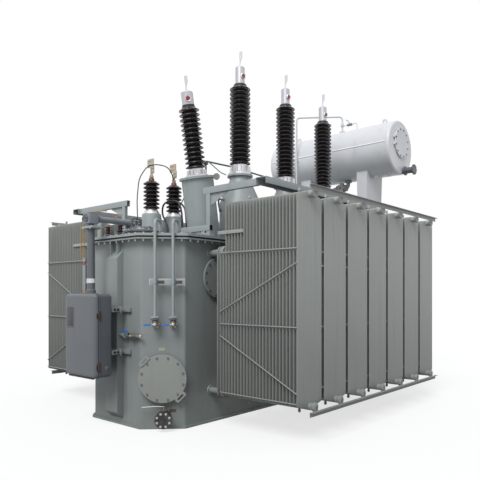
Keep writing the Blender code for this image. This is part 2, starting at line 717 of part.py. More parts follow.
def make_conservator():
    radius = CONSERVATOR_RADIUS
    length = CONSERVATOR_RIGHT - CONSERVATOR_LEFT
    axis_z = CONSERVATOR_AXIS
    dish = CONSERVATOR_DISH
    profile = [(0, length), (radius - dish, length), (radius, length - dish), (radius, dish),
               (radius - dish, 0), (0, 0)]
    place = pointing((CONSERVATOR_LEFT, CONSERVATOR_Y, axis_z), (1, 0, 0))
    drum = turned("drum", profile, 20, place)
    wide = CONSERVATOR_END_COVER
    cover = [(0, 0.03), (wide, 0.03), (wide, -BITE), (0, -BITE)]
    place = pointing((CONSERVATOR_RIGHT, CONSERVATOR_Y, axis_z + CONSERVATOR_END_RISE), (1, 0, 0))
    cover = turned("cover", cover, 16, place)
    reach = CONSERVATOR_STUB_REACH
    neck = CONSERVATOR_STUB_RADIUS
    flange = neck + 0.04
    stub = [(0, reach), (flange, reach), (flange, reach - 0.03), (neck, reach - 0.03), (neck, -neck), (0, -neck)]
    stub_y = CONSERVATOR_Y + CONSERVATOR_STUB_SIDE
    stub_z = axis_z - CONSERVATOR_STUB_DROP
    stub = turned("stub", stub, 8, pointing((CONSERVATOR_RIGHT, stub_y, stub_z), (1, 0, 0)))
    lugs = []
    for x in CONSERVATOR_EYE_X:
        lug = block("lug", (x - 0.045, CONSERVATOR_Y - 0.008, CONSERVATOR_TOP - 0.02),
                    (x + 0.045, CONSERVATOR_Y + 0.008, CONSERVATOR_TOP + 0.09))
        hole = block("hole", (x - 0.02, CONSERVATOR_Y - 0.02, CONSERVATOR_TOP + 0.03),
                     (x + 0.02, CONSERVATOR_Y + 0.02, CONSERVATOR_TOP + 0.07))
        lugs.append(cut("lug", lug, hole))
    finish(fuse("conservator", drum, cover, stub, *lugs), "conservator", WHITE_PAINT)

    # Tapered legs, cut to the drum with the seat's clearance
    for x, name in zip(CONSERVATOR_LEGS, ("conservator_leg_right", "conservator_leg_left")):
        base = COVER_TOP + SEAT
        top = axis_z - radius * 0.55
        low = LEG_BOTTOM_WIDTH / 2
        high = LEG_TOP_WIDTH / 2
        points = [(x - high, top), (x - high, top - 0.12), (x - low, base + 0.02), (x - low, base),
                  (x + low, base), (x + low, base + 0.02), (x + high, top - 0.12), (x + high, top)]
        leg = plate(name, points, LEG_DEPTH, facing_y(CONSERVATOR_Y))
        room = [(0, 1.0), (radius + SEAT, 1.0), (radius + SEAT, 0), (0, 0)]
        room = turned("room", room, 20, pointing((x - 0.5, CONSERVATOR_Y, axis_z), (1, 0, 0)))
        finish(cut(name, leg, room), name, WHITE_PAINT)


def make_tap_changer():
    base = COVER_TOP + SEAT
    radius = OLTC_RADIUS
    head = [(0, OLTC_HEIGHT), (radius * 0.72, OLTC_HEIGHT), (radius * 0.95, OLTC_HEIGHT * 0.62),
            (radius, OLTC_HEIGHT * 0.62), (radius, 0), (0, 0)]
    head = turned("oltc_head", head, 16, upright(OLTC_X, OLTC_Y, base))
    box_right = SHAFT_X + OLTC_BOX * 1.25
    low = (box_right - OLTC_BOX, OLTC_Y - OLTC_BOX_NEAR, base + OLTC_BOX_BOTTOM)
    box = block("drive_box", low, (box_right, OLTC_Y - OLTC_BOX_FAR, low[2] + OLTC_BOX_HEIGHT))
    finish(fuse("oltc_head", head, box), "oltc_head", DARK_PAINT)

    # Level shaft from the head's gear to the bevel gear over the cabinet
    half = GEARBOX_SIZE / 2
    corner = Vector((half, half, half))
    middle = Vector((SHAFT_X, SHAFT_Y, GEARBOX_Z))
    gear = block("gear", middle - corner, middle + corner)
    end = OLTC_Y - OLTC_BOX_NEAR - SEAT
    shaft = tube("shaft", [(SHAFT_X, SHAFT_Y, GEARBOX_Z), (SHAFT_X, end, GEARBOX_Z)], SHAFT_RADIUS * 0.7)
    finish(fuse("drive_shaft", gear, shaft), "drive_shaft", DARK_PAINT)
    bottom = CABINET_TOP + SEAT
    top = GEARBOX_Z - half - SEAT
    profile = [(0, top), (SHAFT_RADIUS * 1.3, top), (SHAFT_RADIUS * 1.3, top - 0.05), (SHAFT_RADIUS, top - 0.05),
               (SHAFT_RADIUS, bottom + 0.05), (SHAFT_RADIUS * 1.3, bottom + 0.05),
               (SHAFT_RADIUS * 1.3, bottom), (0, bottom)]
    finish(turned("drive_tube", profile, 12, upright(SHAFT_X, SHAFT_Y, 0)), "drive_tube", DARK_PAINT)


def rounded(left, right, low, high, corner):
    # A rectangle with three-point rounded corners
    points = []
    for x, z, start in ((right - corner, high - corner, 0), (left + corner, high - corner, 90),
                        (left + corner, low + corner, 180), (right - corner, low + corner, 270)):
        for step in (0, 45, 90):
            angle = radians(start + step)
            points.append((x + corner * cos(angle), z + corner * sin(angle)))
    return points


def make_hinges(x, y, lift, leaf_end):
    # Knuckles on the hinge line, each with a leaf to the piece that it belongs to
    parts = []
    for level in HINGE_LEVELS:
        bottom = level + lift
        knuckle = [(0, HINGE_LENGTH), (HINGE_RADIUS, HINGE_LENGTH), (HINGE_RADIUS, 0), (0, 0)]
        knuckle = turned("knuckle", knuckle, 8, upright(x, y, bottom))
        ends = sorted((y, leaf_end))
        leaf = block("leaf", (x, ends[0], bottom + 0.002),
                     (CABINET_LEFT + 0.005, ends[1], bottom + HINGE_LENGTH - 0.002))
        parts.append(fuse("hinge", knuckle, leaf))
    return parts


def make_cabinet():
    outline = rounded(CABINET_LEFT, CABINET_RIGHT, CABINET_BOTTOM, CABINET_TOP, CABINET_CORNER)
    back = TANK_END - CABINET_BACK
    front = back - CABINET_DEPTH
    split = front + DOOR_DEPTH
    depth = back - split
    body = plate("drive_cabinet", outline, depth, facing_y((back + split) / 2))
    # The inside, open to the door
    wall = 0.02
    inner = rounded(CABINET_LEFT + wall, CABINET_RIGHT - wall, CABINET_BOTTOM + wall, CABINET_TOP - wall, 0.02)
    room = plate("room", inner, depth, facing_y((back + split) / 2 - wall))
    body = cut("drive_cabinet", body, room)
    hinge_x = CABINET_LEFT - HINGE_RADIUS - 0.001
    hinge_y = split - DOOR_GAP / 2
    body = fuse("drive_cabinet", body, *make_hinges(hinge_x, hinge_y, 0, split + BITE))
    finish(body, "drive_cabinet", DARK_PAINT)

    # Door shell, hinged on its left edge
    thick = DOOR_DEPTH - DOOR_GAP
    door = plate("cabinet_door", outline, thick, facing_y(front + thick / 2))
    hollow = plate("hollow", inner, thick, facing_y(front + thick / 2 + 0.015))
    left, right = (CABINET_LEFT + side for side in WINDOW_SIDES)
    high, low = (CABINET_TOP - drop for drop in WINDOW_DROPS)
    window = rounded(left, right, low, high, 0.01)
    hole = plate("window", window, 0.2, facing_y(front))
    door = cut("cabinet_door", door, hollow, hole)
    lift = HINGE_LENGTH + SEAT
    hinges = make_hinges(hinge_x, hinge_y, lift, front + thick - BITE)
    finish(fuse("cabinet_door", door, *hinges), "cabinet_door", DARK_PAINT)


def make_round_covers():
    radius = MANHOLE_RADIUS
    out = MANHOLE_NECK + SEAT
    place = pointing(chamfer_point(0, MANHOLE_Z, out), CHAMFER_OUT)
    disc = [(0, COVER_PLATE), (radius, COVER_PLATE), (radius, 0), (0, 0)]
    finish(turned("manhole_cover", disc, 24, place), "manhole_cover", PAINT)
    # Slotted lugs to lift it by, standing past the rim at the upper left and the lower right
    wide, tall = (size / 2 for size in COVER_LUG)
    slot_wide, slot_tall = (size / 2 for size in COVER_LUG_SLOT)
    level = COVER_PLATE + SEAT + COVER_LUG_THICKNESS / 2
    for name, angle in (("manhole_lug_upper", 135), ("manhole_lug_lower", -45)):
        middle = upright(0, COVER_LUG_RADIUS, level)
        lug = plate(name, rounded(-wide, wide, -tall, tall, tall * 0.6), COVER_LUG_THICKNESS, middle)
        slot = rounded(-slot_wide, slot_wide, -slot_tall, slot_tall, slot_tall * 0.9)
        lug = cut(name, lug, plate("slot", slot, 2 * COVER_LUG_THICKNESS, middle))
        lug.matrix_world = place @ Matrix.Rotation(radians(angle - 90), 4, "Z")
        finish(bake(lug), name, PAINT)
    radius = HANDHOLE_RADIUS
    disc = [(0, COVER_PLATE), (radius, COVER_PLATE), (radius, 0), (0, 0)]
    wall = TANK_HALF_WIDTH + HANDHOLE_NECK + SEAT
    place = pointing((wall, HANDHOLE_Y, TANK_HEIGHT - HANDHOLE_DROP), (1, 0, 0))
    finish(turned("handhole_cover", disc, 24, place), "handhole_cover", PAINT)


def make_chamfer_pipes():
    # Two upright pipes on the chamfer, each from a valve at the wall up over the cover
    for name, along in zip(("sampling_pipe_left", "sampling_pipe_right"), CHAMFER_PIPE_OFFSETS):
        out = CHAMFER_PIPE_REACH
        top = COVER_TOP + CHAMFER_PIPE_RISE
        bend = CHAMFER_PIPE_BEND
        inset = CHAMFER_PIPE_INSET
        rise = [chamfer_point(along, CHAMFER_VALVE_Z, out), chamfer_point(along, top - bend, out),
                chamfer_point(along, top, out - bend), chamfer_point(along, top, bend - inset),
                chamfer_point(along, top - bend, -inset), chamfer_point(along, COVER_TOP + SEAT, -inset)]
        pipe = tube(name, rise, CHAMFER_PIPE_RADIUS)
        reach = out + 0.03
        body = [(0, reach), (0.04, reach), (0.04, 0.03), (0.07, 0.03), (0.07, SEAT), (0, SEAT)]
        valve = turned("valve", body, 8, pointing(chamfer_point(along, CHAMFER_VALVE_Z), CHAMFER_OUT))
        finish(fuse(name, pipe, valve), name, PAINT)


def make_lever(name, hub, direction, out, length):
    # A ball valve's lever: a hub on the spindle and a flat handle
    axis = Vector(out).normalized()
    along = Vector(direction).normalized()
    side = axis.cross(along)
    turn = Matrix((along, side, axis)).transposed().to_4x4()
    place = Matrix.Translation(hub) @ turn
    spindle = [(0, 0.03), (0.018, 0.03), (0.018, 0), (0, 0)]
    spindle = turned("spindle", spindle, 8, place)
    grip = block("grip", (-0.012, -0.012, 0.018), (length, 0.012, 0.028))
    grip.matrix_world = place
    return finish(fuse(name, spindle, bake(grip)), name, LEVER_BLUE)


def make_end_valve():
    # Sampling valve on the right side of the near stiffener: flange, neck, ball body and outlet
    x = STIFFENER_MIDDLE + STIFFENER_WIDTH / 2
    y = TANK_END - STIFFENER_DEPTH / 2
    z = END_VALVE_Z
    wide = END_VALVE_BODY
    body = [(0, 0.34), (0.022, 0.34), (0.022, 0.25), (wide, 0.25), (wide, 0.09), (0.02, 0.09), (0.02, 0.03),
            (0.048, 0.03), (0.048, SEAT), (0, SEAT)]
    valve = turned("end_valve", body, 8, pointing((x, y, z), (1, 0, 0)))
    finish(valve, "end_valve", PAINT)
    hub = (x + 0.17, y - wide - SEAT, z)
    make_lever("end_valve_lever", hub, (-0.6, 0, 0.8), (0, -1, 0), 0.16)


def make_valve_levers():
    reach = CHAMFER_PIPE_REACH + 0.03 + SEAT
    sideways = Vector((-1.0, -1.0, 0.0)).normalized() * 0.9
    for name, along in zip(("valve_lever_left", "valve_lever_right"), CHAMFER_PIPE_OFFSETS):
        direction = sideways + Vector((0, 0, -0.3))
        hub = chamfer_point(along, CHAMFER_VALVE_Z, reach)
        make_lever(name, hub, direction, CHAMFER_OUT, 0.14)


def make_drain_valve():
    place = pointing(chamfer_point(0.02, DRAIN_Z), CHAMFER_OUT)
    reach = DRAIN_REACH
    radius = DRAIN_RADIUS
    body = [(0, reach), (radius, reach), (radius, reach - 0.045), (0.045, reach - 0.045), (0.045, 0.03),
            (0.09, 0.03), (0.09, SEAT), (0, SEAT)]
    valve = turned("drain_valve", body, 12, place)
    bonnet = [(0, 0.16), (0.035, 0.16), (0.035, 0.0), (0, 0.0)]
    middle = chamfer_point(0.02, DRAIN_Z, reach * 0.45)
    bonnet = turned("bonnet", bonnet, 8, upright(middle.x, middle.y, middle.z))
    finish(fuse("drain_valve", valve, bonnet), "drain_valve", BLACK_PAINT)


def make_frame(name, side, y_near, out):
    # A busbar frame: two beams out over the radiators, each on a post, and one beam along them
    y_far = y_near + FRAME_LENGTH
    top = FRAME_TOP
    low = top - FRAME_BEAM
    base = COVER_TOP + SEAT
    foot_top = COVER_TOP + FRAME_FOOT_HALF
    half = FRAME_BEAM_HALF
    parts = []
    for y in (y_near, y_far):
        ends = sorted((side * FRAME_START, side * out))
        parts.append(block("beam", (ends[0], y - half, low), (ends[1], y + half, top - 0.001)))
        ends = sorted((side * FRAME_POST[0], side * FRAME_POST[1]))
        depth = half - 0.002
        parts.append(block("post", (ends[0], y - depth, foot_top - BITE), (ends[1], y + depth, top - BITE)))
        ends = sorted((side * FRAME_FOOT[0], side * FRAME_FOOT[1]))
        parts.append(block("foot", (ends[0], y - FRAME_FOOT_HALF, base), (ends[1], y + FRAME_FOOT_HALF, foot_top)))
    ends = sorted((side * (out - FRAME_LONG_BEAM[0]), side * (out + FRAME_LONG_BEAM[1])))
    start = (ends[0], y_near - FRAME_OVERRUN, low + 0.005)
    long_beam = block("long_beam", start, (ends[1], y_far + FRAME_OVERRUN, top))
    return finish(fuse(name, long_beam, *parts), name, PAINT)


def make_relay_pipe():
    # From the conservator's underside along to the relay's far side and down to the cover
    base = COVER_TOP + SEAT
    underside = CONSERVATOR_TOP - 2 * CONSERVATOR_RADIUS
    level = underside - RELAY_DROP
    bend = RELAY_BEND
    right, left, y = RELAY_OUTLET_X, RELAY_FAR_X, RELAY_Y
    lean = level - (y - RELAY_FOOT_Y) * 1.6
    # The drum curves up a little off its axis, so the pipe ends there
    off = CONSERVATOR_Y - y
    seat = CONSERVATOR_AXIS - sqrt(CONSERVATOR_RADIUS ** 2 - off ** 2)
    path = [(right, y, seat - SEAT), (right, y, level + bend / 2), (right - bend / 2, y, level),
            (left + bend, y, level), (left, y - bend / 2, level - bend), (left, RELAY_FOOT_Y + bend / 2, lean),
            (left, RELAY_FOOT_Y, lean - bend), (left, RELAY_FOOT_Y, base)]
    pipe = tube("relay_pipe", path, RELAY_RADIUS)
    half = RELAY_BODY_HALF
    middle = Vector((RELAY_BODY_X, y, level))
    corner = Vector((half, half, half))
    body = block("body", middle - corner, middle + corner)
    return finish(fuse("relay_pipe", pipe, body), "relay_pipe", PAINT)


def make_vent_pipe():
    # From the top of the drum up, back over the cover and down to it
    y = CONSERVATOR_Y
    top = CONSERVATOR_TOP + VENT_RISE
    bend = VENT_BEND
    run = Vector((VENT_FAR_X - VENT_X, VENT_FAR_Y - y, 0)).normalized() * bend
    path = [Vector((VENT_X, y, CONSERVATOR_TOP + SEAT)), Vector((VENT_X, y, top - bend)),
            Vector((VENT_X, y, top)) + run, Vector((VENT_FAR_X, VENT_FAR_Y, top)) - run,
            Vector((VENT_FAR_X, VENT_FAR_Y, top - bend)), Vector((VENT_FAR_X, VENT_FAR_Y, COVER_TOP + SEAT))]
    return finish(tube("vent_pipe", path, VENT_RADIUS), "vent_pipe", PAINT)


clear_scene()
MODEL = make_collection("power_transformer")
make_tank()
make_cover()
make_radiators()
make_rails()
right_rows, left_rows = radiator_rows()
make_brace("tie_bars_right", 1, right_rows[0])
make_brace("tie_bars_left", -1, left_rows[0])
make_hv_bushings()
make_neutral_bushing()
make_lv_bushings()
make_conservator()
make_tap_changer()
make_cabinet()
make_round_covers()
make_chamfer_pipes()
make_end_valve()
make_valve_levers()
make_drain_valve()
make_frame("busbar_frame_right", 1, FRAME_NEAR_RIGHT, FRAME_OUT_RIGHT)
make_frame("busbar_frame_left", -1, FRAME_NEAR_LEFT, FRAME_OUT_LEFT)
make_relay_pipe()
make_vent_pipe()
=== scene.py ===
from math import cos, pi, radians, sin, sqrt
import bmesh
import bpy
from mathutils import Matrix, Vector


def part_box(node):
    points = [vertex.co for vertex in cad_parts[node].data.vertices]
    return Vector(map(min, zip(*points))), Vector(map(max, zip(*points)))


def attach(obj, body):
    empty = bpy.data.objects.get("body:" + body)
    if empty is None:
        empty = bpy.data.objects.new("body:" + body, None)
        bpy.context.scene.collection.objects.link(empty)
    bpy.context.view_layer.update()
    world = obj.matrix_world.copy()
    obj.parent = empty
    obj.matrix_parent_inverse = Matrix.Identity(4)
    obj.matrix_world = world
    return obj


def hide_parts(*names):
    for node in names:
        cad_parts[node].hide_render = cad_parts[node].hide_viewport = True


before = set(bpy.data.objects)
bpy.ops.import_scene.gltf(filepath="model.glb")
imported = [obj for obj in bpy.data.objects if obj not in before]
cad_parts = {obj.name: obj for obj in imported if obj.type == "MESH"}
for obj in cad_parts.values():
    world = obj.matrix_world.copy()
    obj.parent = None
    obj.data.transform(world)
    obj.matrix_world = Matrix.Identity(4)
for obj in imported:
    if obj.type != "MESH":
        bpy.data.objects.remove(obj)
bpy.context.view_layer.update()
mainBody = "transformer"
diagonal = 1 / sqrt(2)


# Nodes

def feed(tree, node, inputs):
    # Each input takes a value or another node's output
    for name, value in inputs.items():
        if hasattr(value, "is_output"):
            tree.links.new(value, node.inputs[name])
        else:
            node.inputs[name].default_value = value
    return node


def addNode(tree, kind, inputs):
    return feed(tree, tree.nodes.new(kind), inputs)


def calc(tree, operation, first, second):
    node = addNode(tree, "ShaderNodeMath", {0: first, 1: second})
    node.operation = operation
    return node.outputs[0]


def noiseNode(tree, place, scale, detail, stretch=(1, 1, 1)):
    mapping = addNode(tree, "ShaderNodeMapping", {"Vector": place, "Scale": stretch})
    values = {"Vector": mapping.outputs[0], "Scale": scale, "Detail": detail}
    return addNode(tree, "ShaderNodeTexNoise", values).outputs["Fac"]


def ramp(tree, source, low, high):
    node = addNode(tree, "ShaderNodeMapRange", {"Value": source, "From Min": low, "From Max": high})
    node.interpolation_type = "SMOOTHSTEP"
    return node.outputs["Result"]


def blendColour(tree, factor, first, second):
    node = tree.nodes.new("ShaderNodeMix")
    node.data_type = "RGBA"
    return feed(tree, node, {0: factor, 6: first, 7: second}).outputs[2]


def heightOf(tree):
    place = tree.nodes.new("ShaderNodeTexCoord").outputs["Object"]
    return addNode(tree, "ShaderNodeSeparateXYZ", {0: place}).outputs["Z"]


def socketsOf(tree, inputs, outputs):
    for name, kind, value in inputs:
        socket = tree.interface.new_socket(name=name, in_out="INPUT", socket_type="NodeSocket" + kind)
        if value is not None:
            socket.default_value = value
    for name, kind in outputs:
        tree.interface.new_socket(name=name, in_out="OUTPUT", socket_type="NodeSocket" + kind)


# Camera, lamps and floor

stageValues = {
    "cameraPlace": (6.057, -7.329, 1.772),
    "cameraTurn": 41.125,
    "lens": 39.97,
    "sensor": 36.0,
    "shiftUp": 0.110,
    "clipEnd": 200,
    "sunStrength": 2.6,
    "sunTurn": (42, 0, 20),
    "sunAngle": 30,
    "skyStrength": 0.58,
    "skyColour": (0.93, 0.96, 1.0, 1.0),
    "floorSize": 60.0,
    "floorRoughness": 0.9,
    "floorGlow": 0.02,
    "floorBounce": (0.06, 0.46),
    "bounceFrom": (3.0, 9.0),
    "floorSeen": 0.86,
    "floorWhite": 0.70,
}


def makeCamera():
    v = stageValues
    data = bpy.data.cameras.new("camera")
    data.lens, data.sensor_width = v["lens"], v["sensor"]
    data.shift_y, data.clip_end = v["shiftUp"], v["clipEnd"]
    camera = bpy.data.objects.new("camera", data)
    camera.location = v["cameraPlace"]
    camera.rotation_euler = (radians(90), 0, radians(v["cameraTurn"]))
    bpy.context.scene.collection.objects.link(camera)
    bpy.context.scene.camera = camera


def whiteForCamera(tree, seen, otherwise, target, share=1.0):
    # One look for the camera, for gloss and through glass, and another for the light
    path = tree.nodes.new("ShaderNodeLightPath")
    factor = path.outputs["Is Camera Ray"]
    for ray in ("Is Glossy Ray", "Is Transmission Ray"):
        factor = calc(tree, "MAXIMUM", factor, path.outputs[ray])
    factor = calc(tree, "MULTIPLY", factor, share)
    mix = addNode(tree, "ShaderNodeMixShader", {0: factor, 1: otherwise.outputs[0], 2: seen.outputs[0]})
    tree.links.new(mix.outputs[0], target.inputs["Surface"])


def makeLight():
    v = stageValues
    scene = bpy.context.scene
    world = bpy.data.worlds.new("studio")
    scene.world = world
    world.use_nodes = True
    tree = world.node_tree
    sky = feed(tree, tree.nodes["Background"], {"Color": v["skyColour"], "Strength": v["skyStrength"]})
    plain = addNode(tree, "ShaderNodeBackground", {"Color": (1, 1, 1, 1), "Strength": 1.0})
    whiteForCamera(tree, plain, sky, tree.nodes["World Output"])
    sun = bpy.data.lights.new("sun", "SUN")
    sun.energy = v["sunStrength"]
    sun.angle = radians(v["sunAngle"])
    lamp = bpy.data.objects.new("sun", sun)
    lamp.rotation_euler = [radians(a) for a in v["sunTurn"]]
    scene.collection.objects.link(lamp)
    scene.view_settings.view_transform = "Standard"


def makeFloor():
    v = stageValues
    half = v["floorSize"] / 2
    work = bmesh.new()
    corners = [(-half, -half), (half, -half), (half, half), (-half, half)]
    work.faces.new([work.verts.new((x, y, 0)) for x, y in corners])
    mesh = bpy.data.meshes.new("floor")
    work.to_mesh(mesh)
    work.free()
    paint = bpy.data.materials.new("floorWhite")
    paint.use_nodes = True
    tree = paint.node_tree
    # Lighter to the camera than to the light that it throws back, which is least next to the object
    view = tree.nodes.new("ShaderNodeLightPath")
    place = tree.nodes.new("ShaderNodeTexCoord").outputs["Object"]
    away = tree.nodes.new("ShaderNodeVectorMath")
    away.operation = "LENGTH"
    tree.links.new(place, away.inputs[0])
    (near, far), (least, most) = v["bounceFrom"], v["floorBounce"]
    bounce = addNode(tree, "ShaderNodeMapRange", {
        "Value": away.outputs["Value"], "From Min": near, "From Max": far, "To Min": least, "To Max": most,
    })
    seen = {0: view.outputs["Is Camera Ray"], 2: bounce.outputs[0], 3: v["floorSeen"]}
    tone = addNode(tree, "ShaderNodeMix", seen)
    shader = tree.nodes["Principled BSDF"]
    feed(tree, shader, {"Base Color": tone.outputs[0], "Roughness": v["floorRoughness"]})
    glow = addNode(tree, "ShaderNodeEmission", {"Strength": v["floorGlow"]})
    lit = addNode(tree, "ShaderNodeAddShader", {0: shader.outputs[0], 1: glow.outputs[0]})
    # The camera sees the floor mostly as white, with a faint shadow left in it
    white = tree.nodes.new("ShaderNodeEmission")
    whiteForCamera(tree, white, lit, tree.nodes["Material Output"], v["floorWhite"])
    mesh.materials.append(paint)
    floor = bpy.data.objects.new("floor", mesh)
    bpy.context.scene.collection.objects.link(floor)


makeCamera()
makeLight()
makeFloor()
print("stage ready")


# Finishes

coatValues = {
    "patchScale": 1.3, "patchDetail": 4, "patchRough": 0.15,
    "streakScale": 9.0, "streakDetail": 3, "streakStretch": (1, 1, 0.06), "streakRange": (0.52, 0.75),
    "streakColour": (0.05, 0.055, 0.05, 1),
    "dustHeight": 0.9, "lyingFrom": 0.5, "lyingShare": 0.7, "dustRough": 0.4,
    "speckleScale": 14.0, "speckleDetail": 6, "speckleRange": (0.38, 0.7),
    # Height and colour of the painted shade towards the ground
    "groundShadeHeight": 2.9, "groundShadeColour": (0.04, 0.045, 0.042, 1),
    "grainDetail": 2, "grainStrength": 0.6,
}


def weatherGroup():
    # Coat of paint, glaze or metal skin: patchy tone, rain streaks, ground dust, orange peel, and painted
    # shade that deepens towards the ground
    v = coatValues
    tree = bpy.data.node_groups.new("weatheredCoat", "ShaderNodeTree")
    socketsOf(tree, [("Colour", "Color", (0.3, 0.3, 0.3, 1)), ("Dust Colour", "Color", (0.42, 0.40, 0.35, 1)),
                     ("Patchiness", "Float", 0.12), ("Streaks", "Float", 0.15), ("Dust", "Float", 0.15),
                     ("Roughness", "Float", 0.45), ("Grain Scale", "Float", 260.0),
                     ("Painted Ground Shade", "Float", 0.0)],
              [("Colour", "Color"), ("Roughness", "Float"), ("Height", "Float")])
    begin = tree.nodes.new("NodeGroupInput")
    end = tree.nodes.new("NodeGroupOutput")
    place = tree.nodes.new("ShaderNodeTexCoord").outputs["Object"]
    uneven = calc(tree, "SUBTRACT", noiseNode(tree, place, v["patchScale"], v["patchDetail"]), 0.5)
    tone = calc(tree, "MULTIPLY", uneven, begin.outputs["Patchiness"])
    bright = calc(tree, "ADD", calc(tree, "MULTIPLY", tone, 2.0), 1.0)
    hue = addNode(tree, "ShaderNodeHueSaturation", {"Color": begin.outputs["Colour"], "Value": bright})
    runs = noiseNode(tree, place, v["streakScale"], v["streakDetail"], v["streakStretch"])
    streaks = calc(tree, "MULTIPLY", ramp(tree, runs, *v["streakRange"]), begin.outputs["Streaks"])
    dark = blendColour(tree, streaks, hue.outputs[0], v["streakColour"])
    # Dust low down and on what lies level
    height = heightOf(tree)
    low = ramp(tree, height, v["dustHeight"], 0.0)
    normal = tree.nodes.new("ShaderNodeNewGeometry").outputs["Normal"]
    up = addNode(tree, "ShaderNodeSeparateXYZ", {0: normal})
    lying = calc(tree, "MULTIPLY", ramp(tree, up.outputs["Z"], v["lyingFrom"], 1.0), v["lyingShare"])
    settled = calc(tree, "MAXIMUM", low, lying)
    speckle = ramp(tree, noiseNode(tree, place, v["speckleScale"], v["speckleDetail"]), *v["speckleRange"])
    dust = calc(tree, "MULTIPLY", calc(tree, "MULTIPLY", settled, speckle), begin.outputs["Dust"])
    colour = blendColour(tree, dust, dark, begin.outputs["Dust Colour"])
    # Painted shade that darkens the coat from the cover's height down to the ground, standing in for the
    # shade near the ground
    deep = ramp(tree, height, v["groundShadeHeight"], 0.0)
    groundShade = calc(tree, "MULTIPLY", deep, begin.outputs["Painted Ground Shade"])
    colour = blendColour(tree, groundShade, colour, v["groundShadeColour"])
    fine = {"Vector": place, "Scale": begin.outputs["Grain Scale"], "Detail": v["grainDetail"]}
    grain = addNode(tree, "ShaderNodeTexNoise", fine)
    rough = calc(tree, "ADD", begin.outputs["Roughness"], calc(tree, "MULTIPLY", dust, v["dustRough"]))
    rough = calc(tree, "ADD", rough, calc(tree, "MULTIPLY", uneven, v["patchRough"]))
    feed(tree, end, {"Colour": colour, "Roughness": rough, "Height": grain.outputs["Fac"]})
    return tree


weatheredCoat = weatherGroup()


def makeFinish(name, colour, roughness, metallic=0.0, patchiness=0.12, streaks=0.12, dust=0.12,
               grainScale=260.0, grainDepth=0.0004, coat=0.0, groundShade=0.0):
    material = bpy.data.materials.new(name)
    material.use_nodes = True
    tree = material.node_tree
    shader = tree.nodes["Principled BSDF"]
    group = tree.nodes.new("ShaderNodeGroup")
    group.node_tree = weatheredCoat
    feed(tree, group, {
        "Colour": (*colour, 1), "Patchiness": patchiness, "Streaks": streaks, "Dust": dust,
        "Roughness": roughness, "Grain Scale": grainScale, "Painted Ground Shade": groundShade,
    })
    bump = addNode(tree, "ShaderNodeBump", {"Height": group.outputs["Height"], "Distance": grainDepth,
                                            "Strength": coatValues["grainStrength"]})
    feed(tree, shader, {
        "Base Color": group.outputs["Colour"], "Roughness": group.outputs["Roughness"],
        "Normal": bump.outputs[0], "Metallic": metallic, "Coat Weight": coat,
    })
    material.diffuse_color = (*colour, 1)
    return material


def paintBounceLightBelow(material, colour, low, high):
    # Painted bounce light: a finish that gets lighter from one height down to another, standing in for light
    # thrown up from the floor
    tree = material.node_tree
    group = next(node for node in tree.nodes if node.type == "GROUP")
    bounceLightMask = addNode(tree, "ShaderNodeMapRange", {"Value": heightOf(tree), "From Min": low, "From Max": high})
    plain = tuple(group.inputs["Colour"].default_value)
    feed(tree, group, {"Colour": blendColour(tree, bounceLightMask.outputs[0], (*colour, 1), plain)})


# The tank's and the radiators' paints darken towards the ground with painted shade
greenGrey = makeFinish("greenGreyPaint", (0.256, 0.286, 0.278), 0.42, streaks=0.10, dust=0.08, groundShade=0.30)
radiatorGrey = makeFinish("radiatorGreyPaint", (0.318, 0.335, 0.316), 0.45, dust=0.06, groundShade=0.34)
paleGrey = makeFinish("paleGreyPaint", (0.298, 0.328, 0.332), 0.40, streaks=0.14, dust=0.10)
driveGrey = makeFinish("driveGreyPaint", (0.112, 0.123, 0.137), 0.38, dust=0.14)
offWhite = makeFinish("offWhitePaint", (0.58, 0.59, 0.615), 0.35, streaks=0.08, dust=0.08)
brownGlaze = makeFinish("brownGlaze", (0.016, 0.012, 0.014), 0.26, patchiness=0.3, streaks=0.05, dust=0.02,
                        grainScale=90, grainDepth=0.0002, coat=0.15)
castSilver = makeFinish("castSilver", (0.66, 0.66, 0.68), 0.34, metallic=0.85, streaks=0.06, dust=0.05,
                        grainScale=420, grainDepth=0.0003)
capSilver = makeFinish("capSilver", (0.52, 0.52, 0.55), 0.40, metallic=0.75, streaks=0.15, dust=0.05,
                       grainScale=420, grainDepth=0.0003)
zincBolt = makeFinish("zincBolt", (0.50, 0.50, 0.49), 0.42, metallic=0.8, dust=0.2, grainScale=500)
blackPaint = makeFinish("blackPaint", (0.018, 0.018, 0.020), 0.4)
rubberSeal = makeFinish("rubberSeal", (0.015, 0.015, 0.016), 0.75, dust=0.2, grainScale=700)
blueGrip = makeFinish("blueGrip", (0.02, 0.13, 0.50), 0.35, dust=0.1, grainScale=500, coat=0.2)
bronzeBody = makeFinish("bronzeBody", (0.21, 0.185, 0.15), 0.45, metallic=0.7, dust=0.15, grainScale=400)
redMark = makeFinish("redMark", (0.27, 0.010, 0.018), 0.3, grainScale=300, coat=0.4)
yellowSleeve = makeFinish("yellowSleeve", (0.40, 0.23, 0.045), 0.45, grainScale=300)
blackCable = makeFinish("blackCable", (0.020, 0.020, 0.022), 0.5, dust=0.1, grainScale=500)
barePlate = makeFinish("barePlate", (0.55, 0.56, 0.57), 0.3, metallic=0.6, grainScale=600)
# Near-black painted shade for a recess
paintedHoleShade = makeFinish("paintedHoleShade", (0.006, 0.006, 0.006), 0.8, dust=0.0)
# A brighter white for the weld, which is a painted highlight
seamHighlight = makeFinish("seamHighlight", (0.84, 0.85, 0.88), 0.3, streaks=0.0, dust=0.0)
# Drum white, which gets painted bounce light towards its underside further on
drumWhite = makeFinish("drumWhitePaint", (0.60, 0.61, 0.635), 0.35, streaks=0.08, dust=0.08)
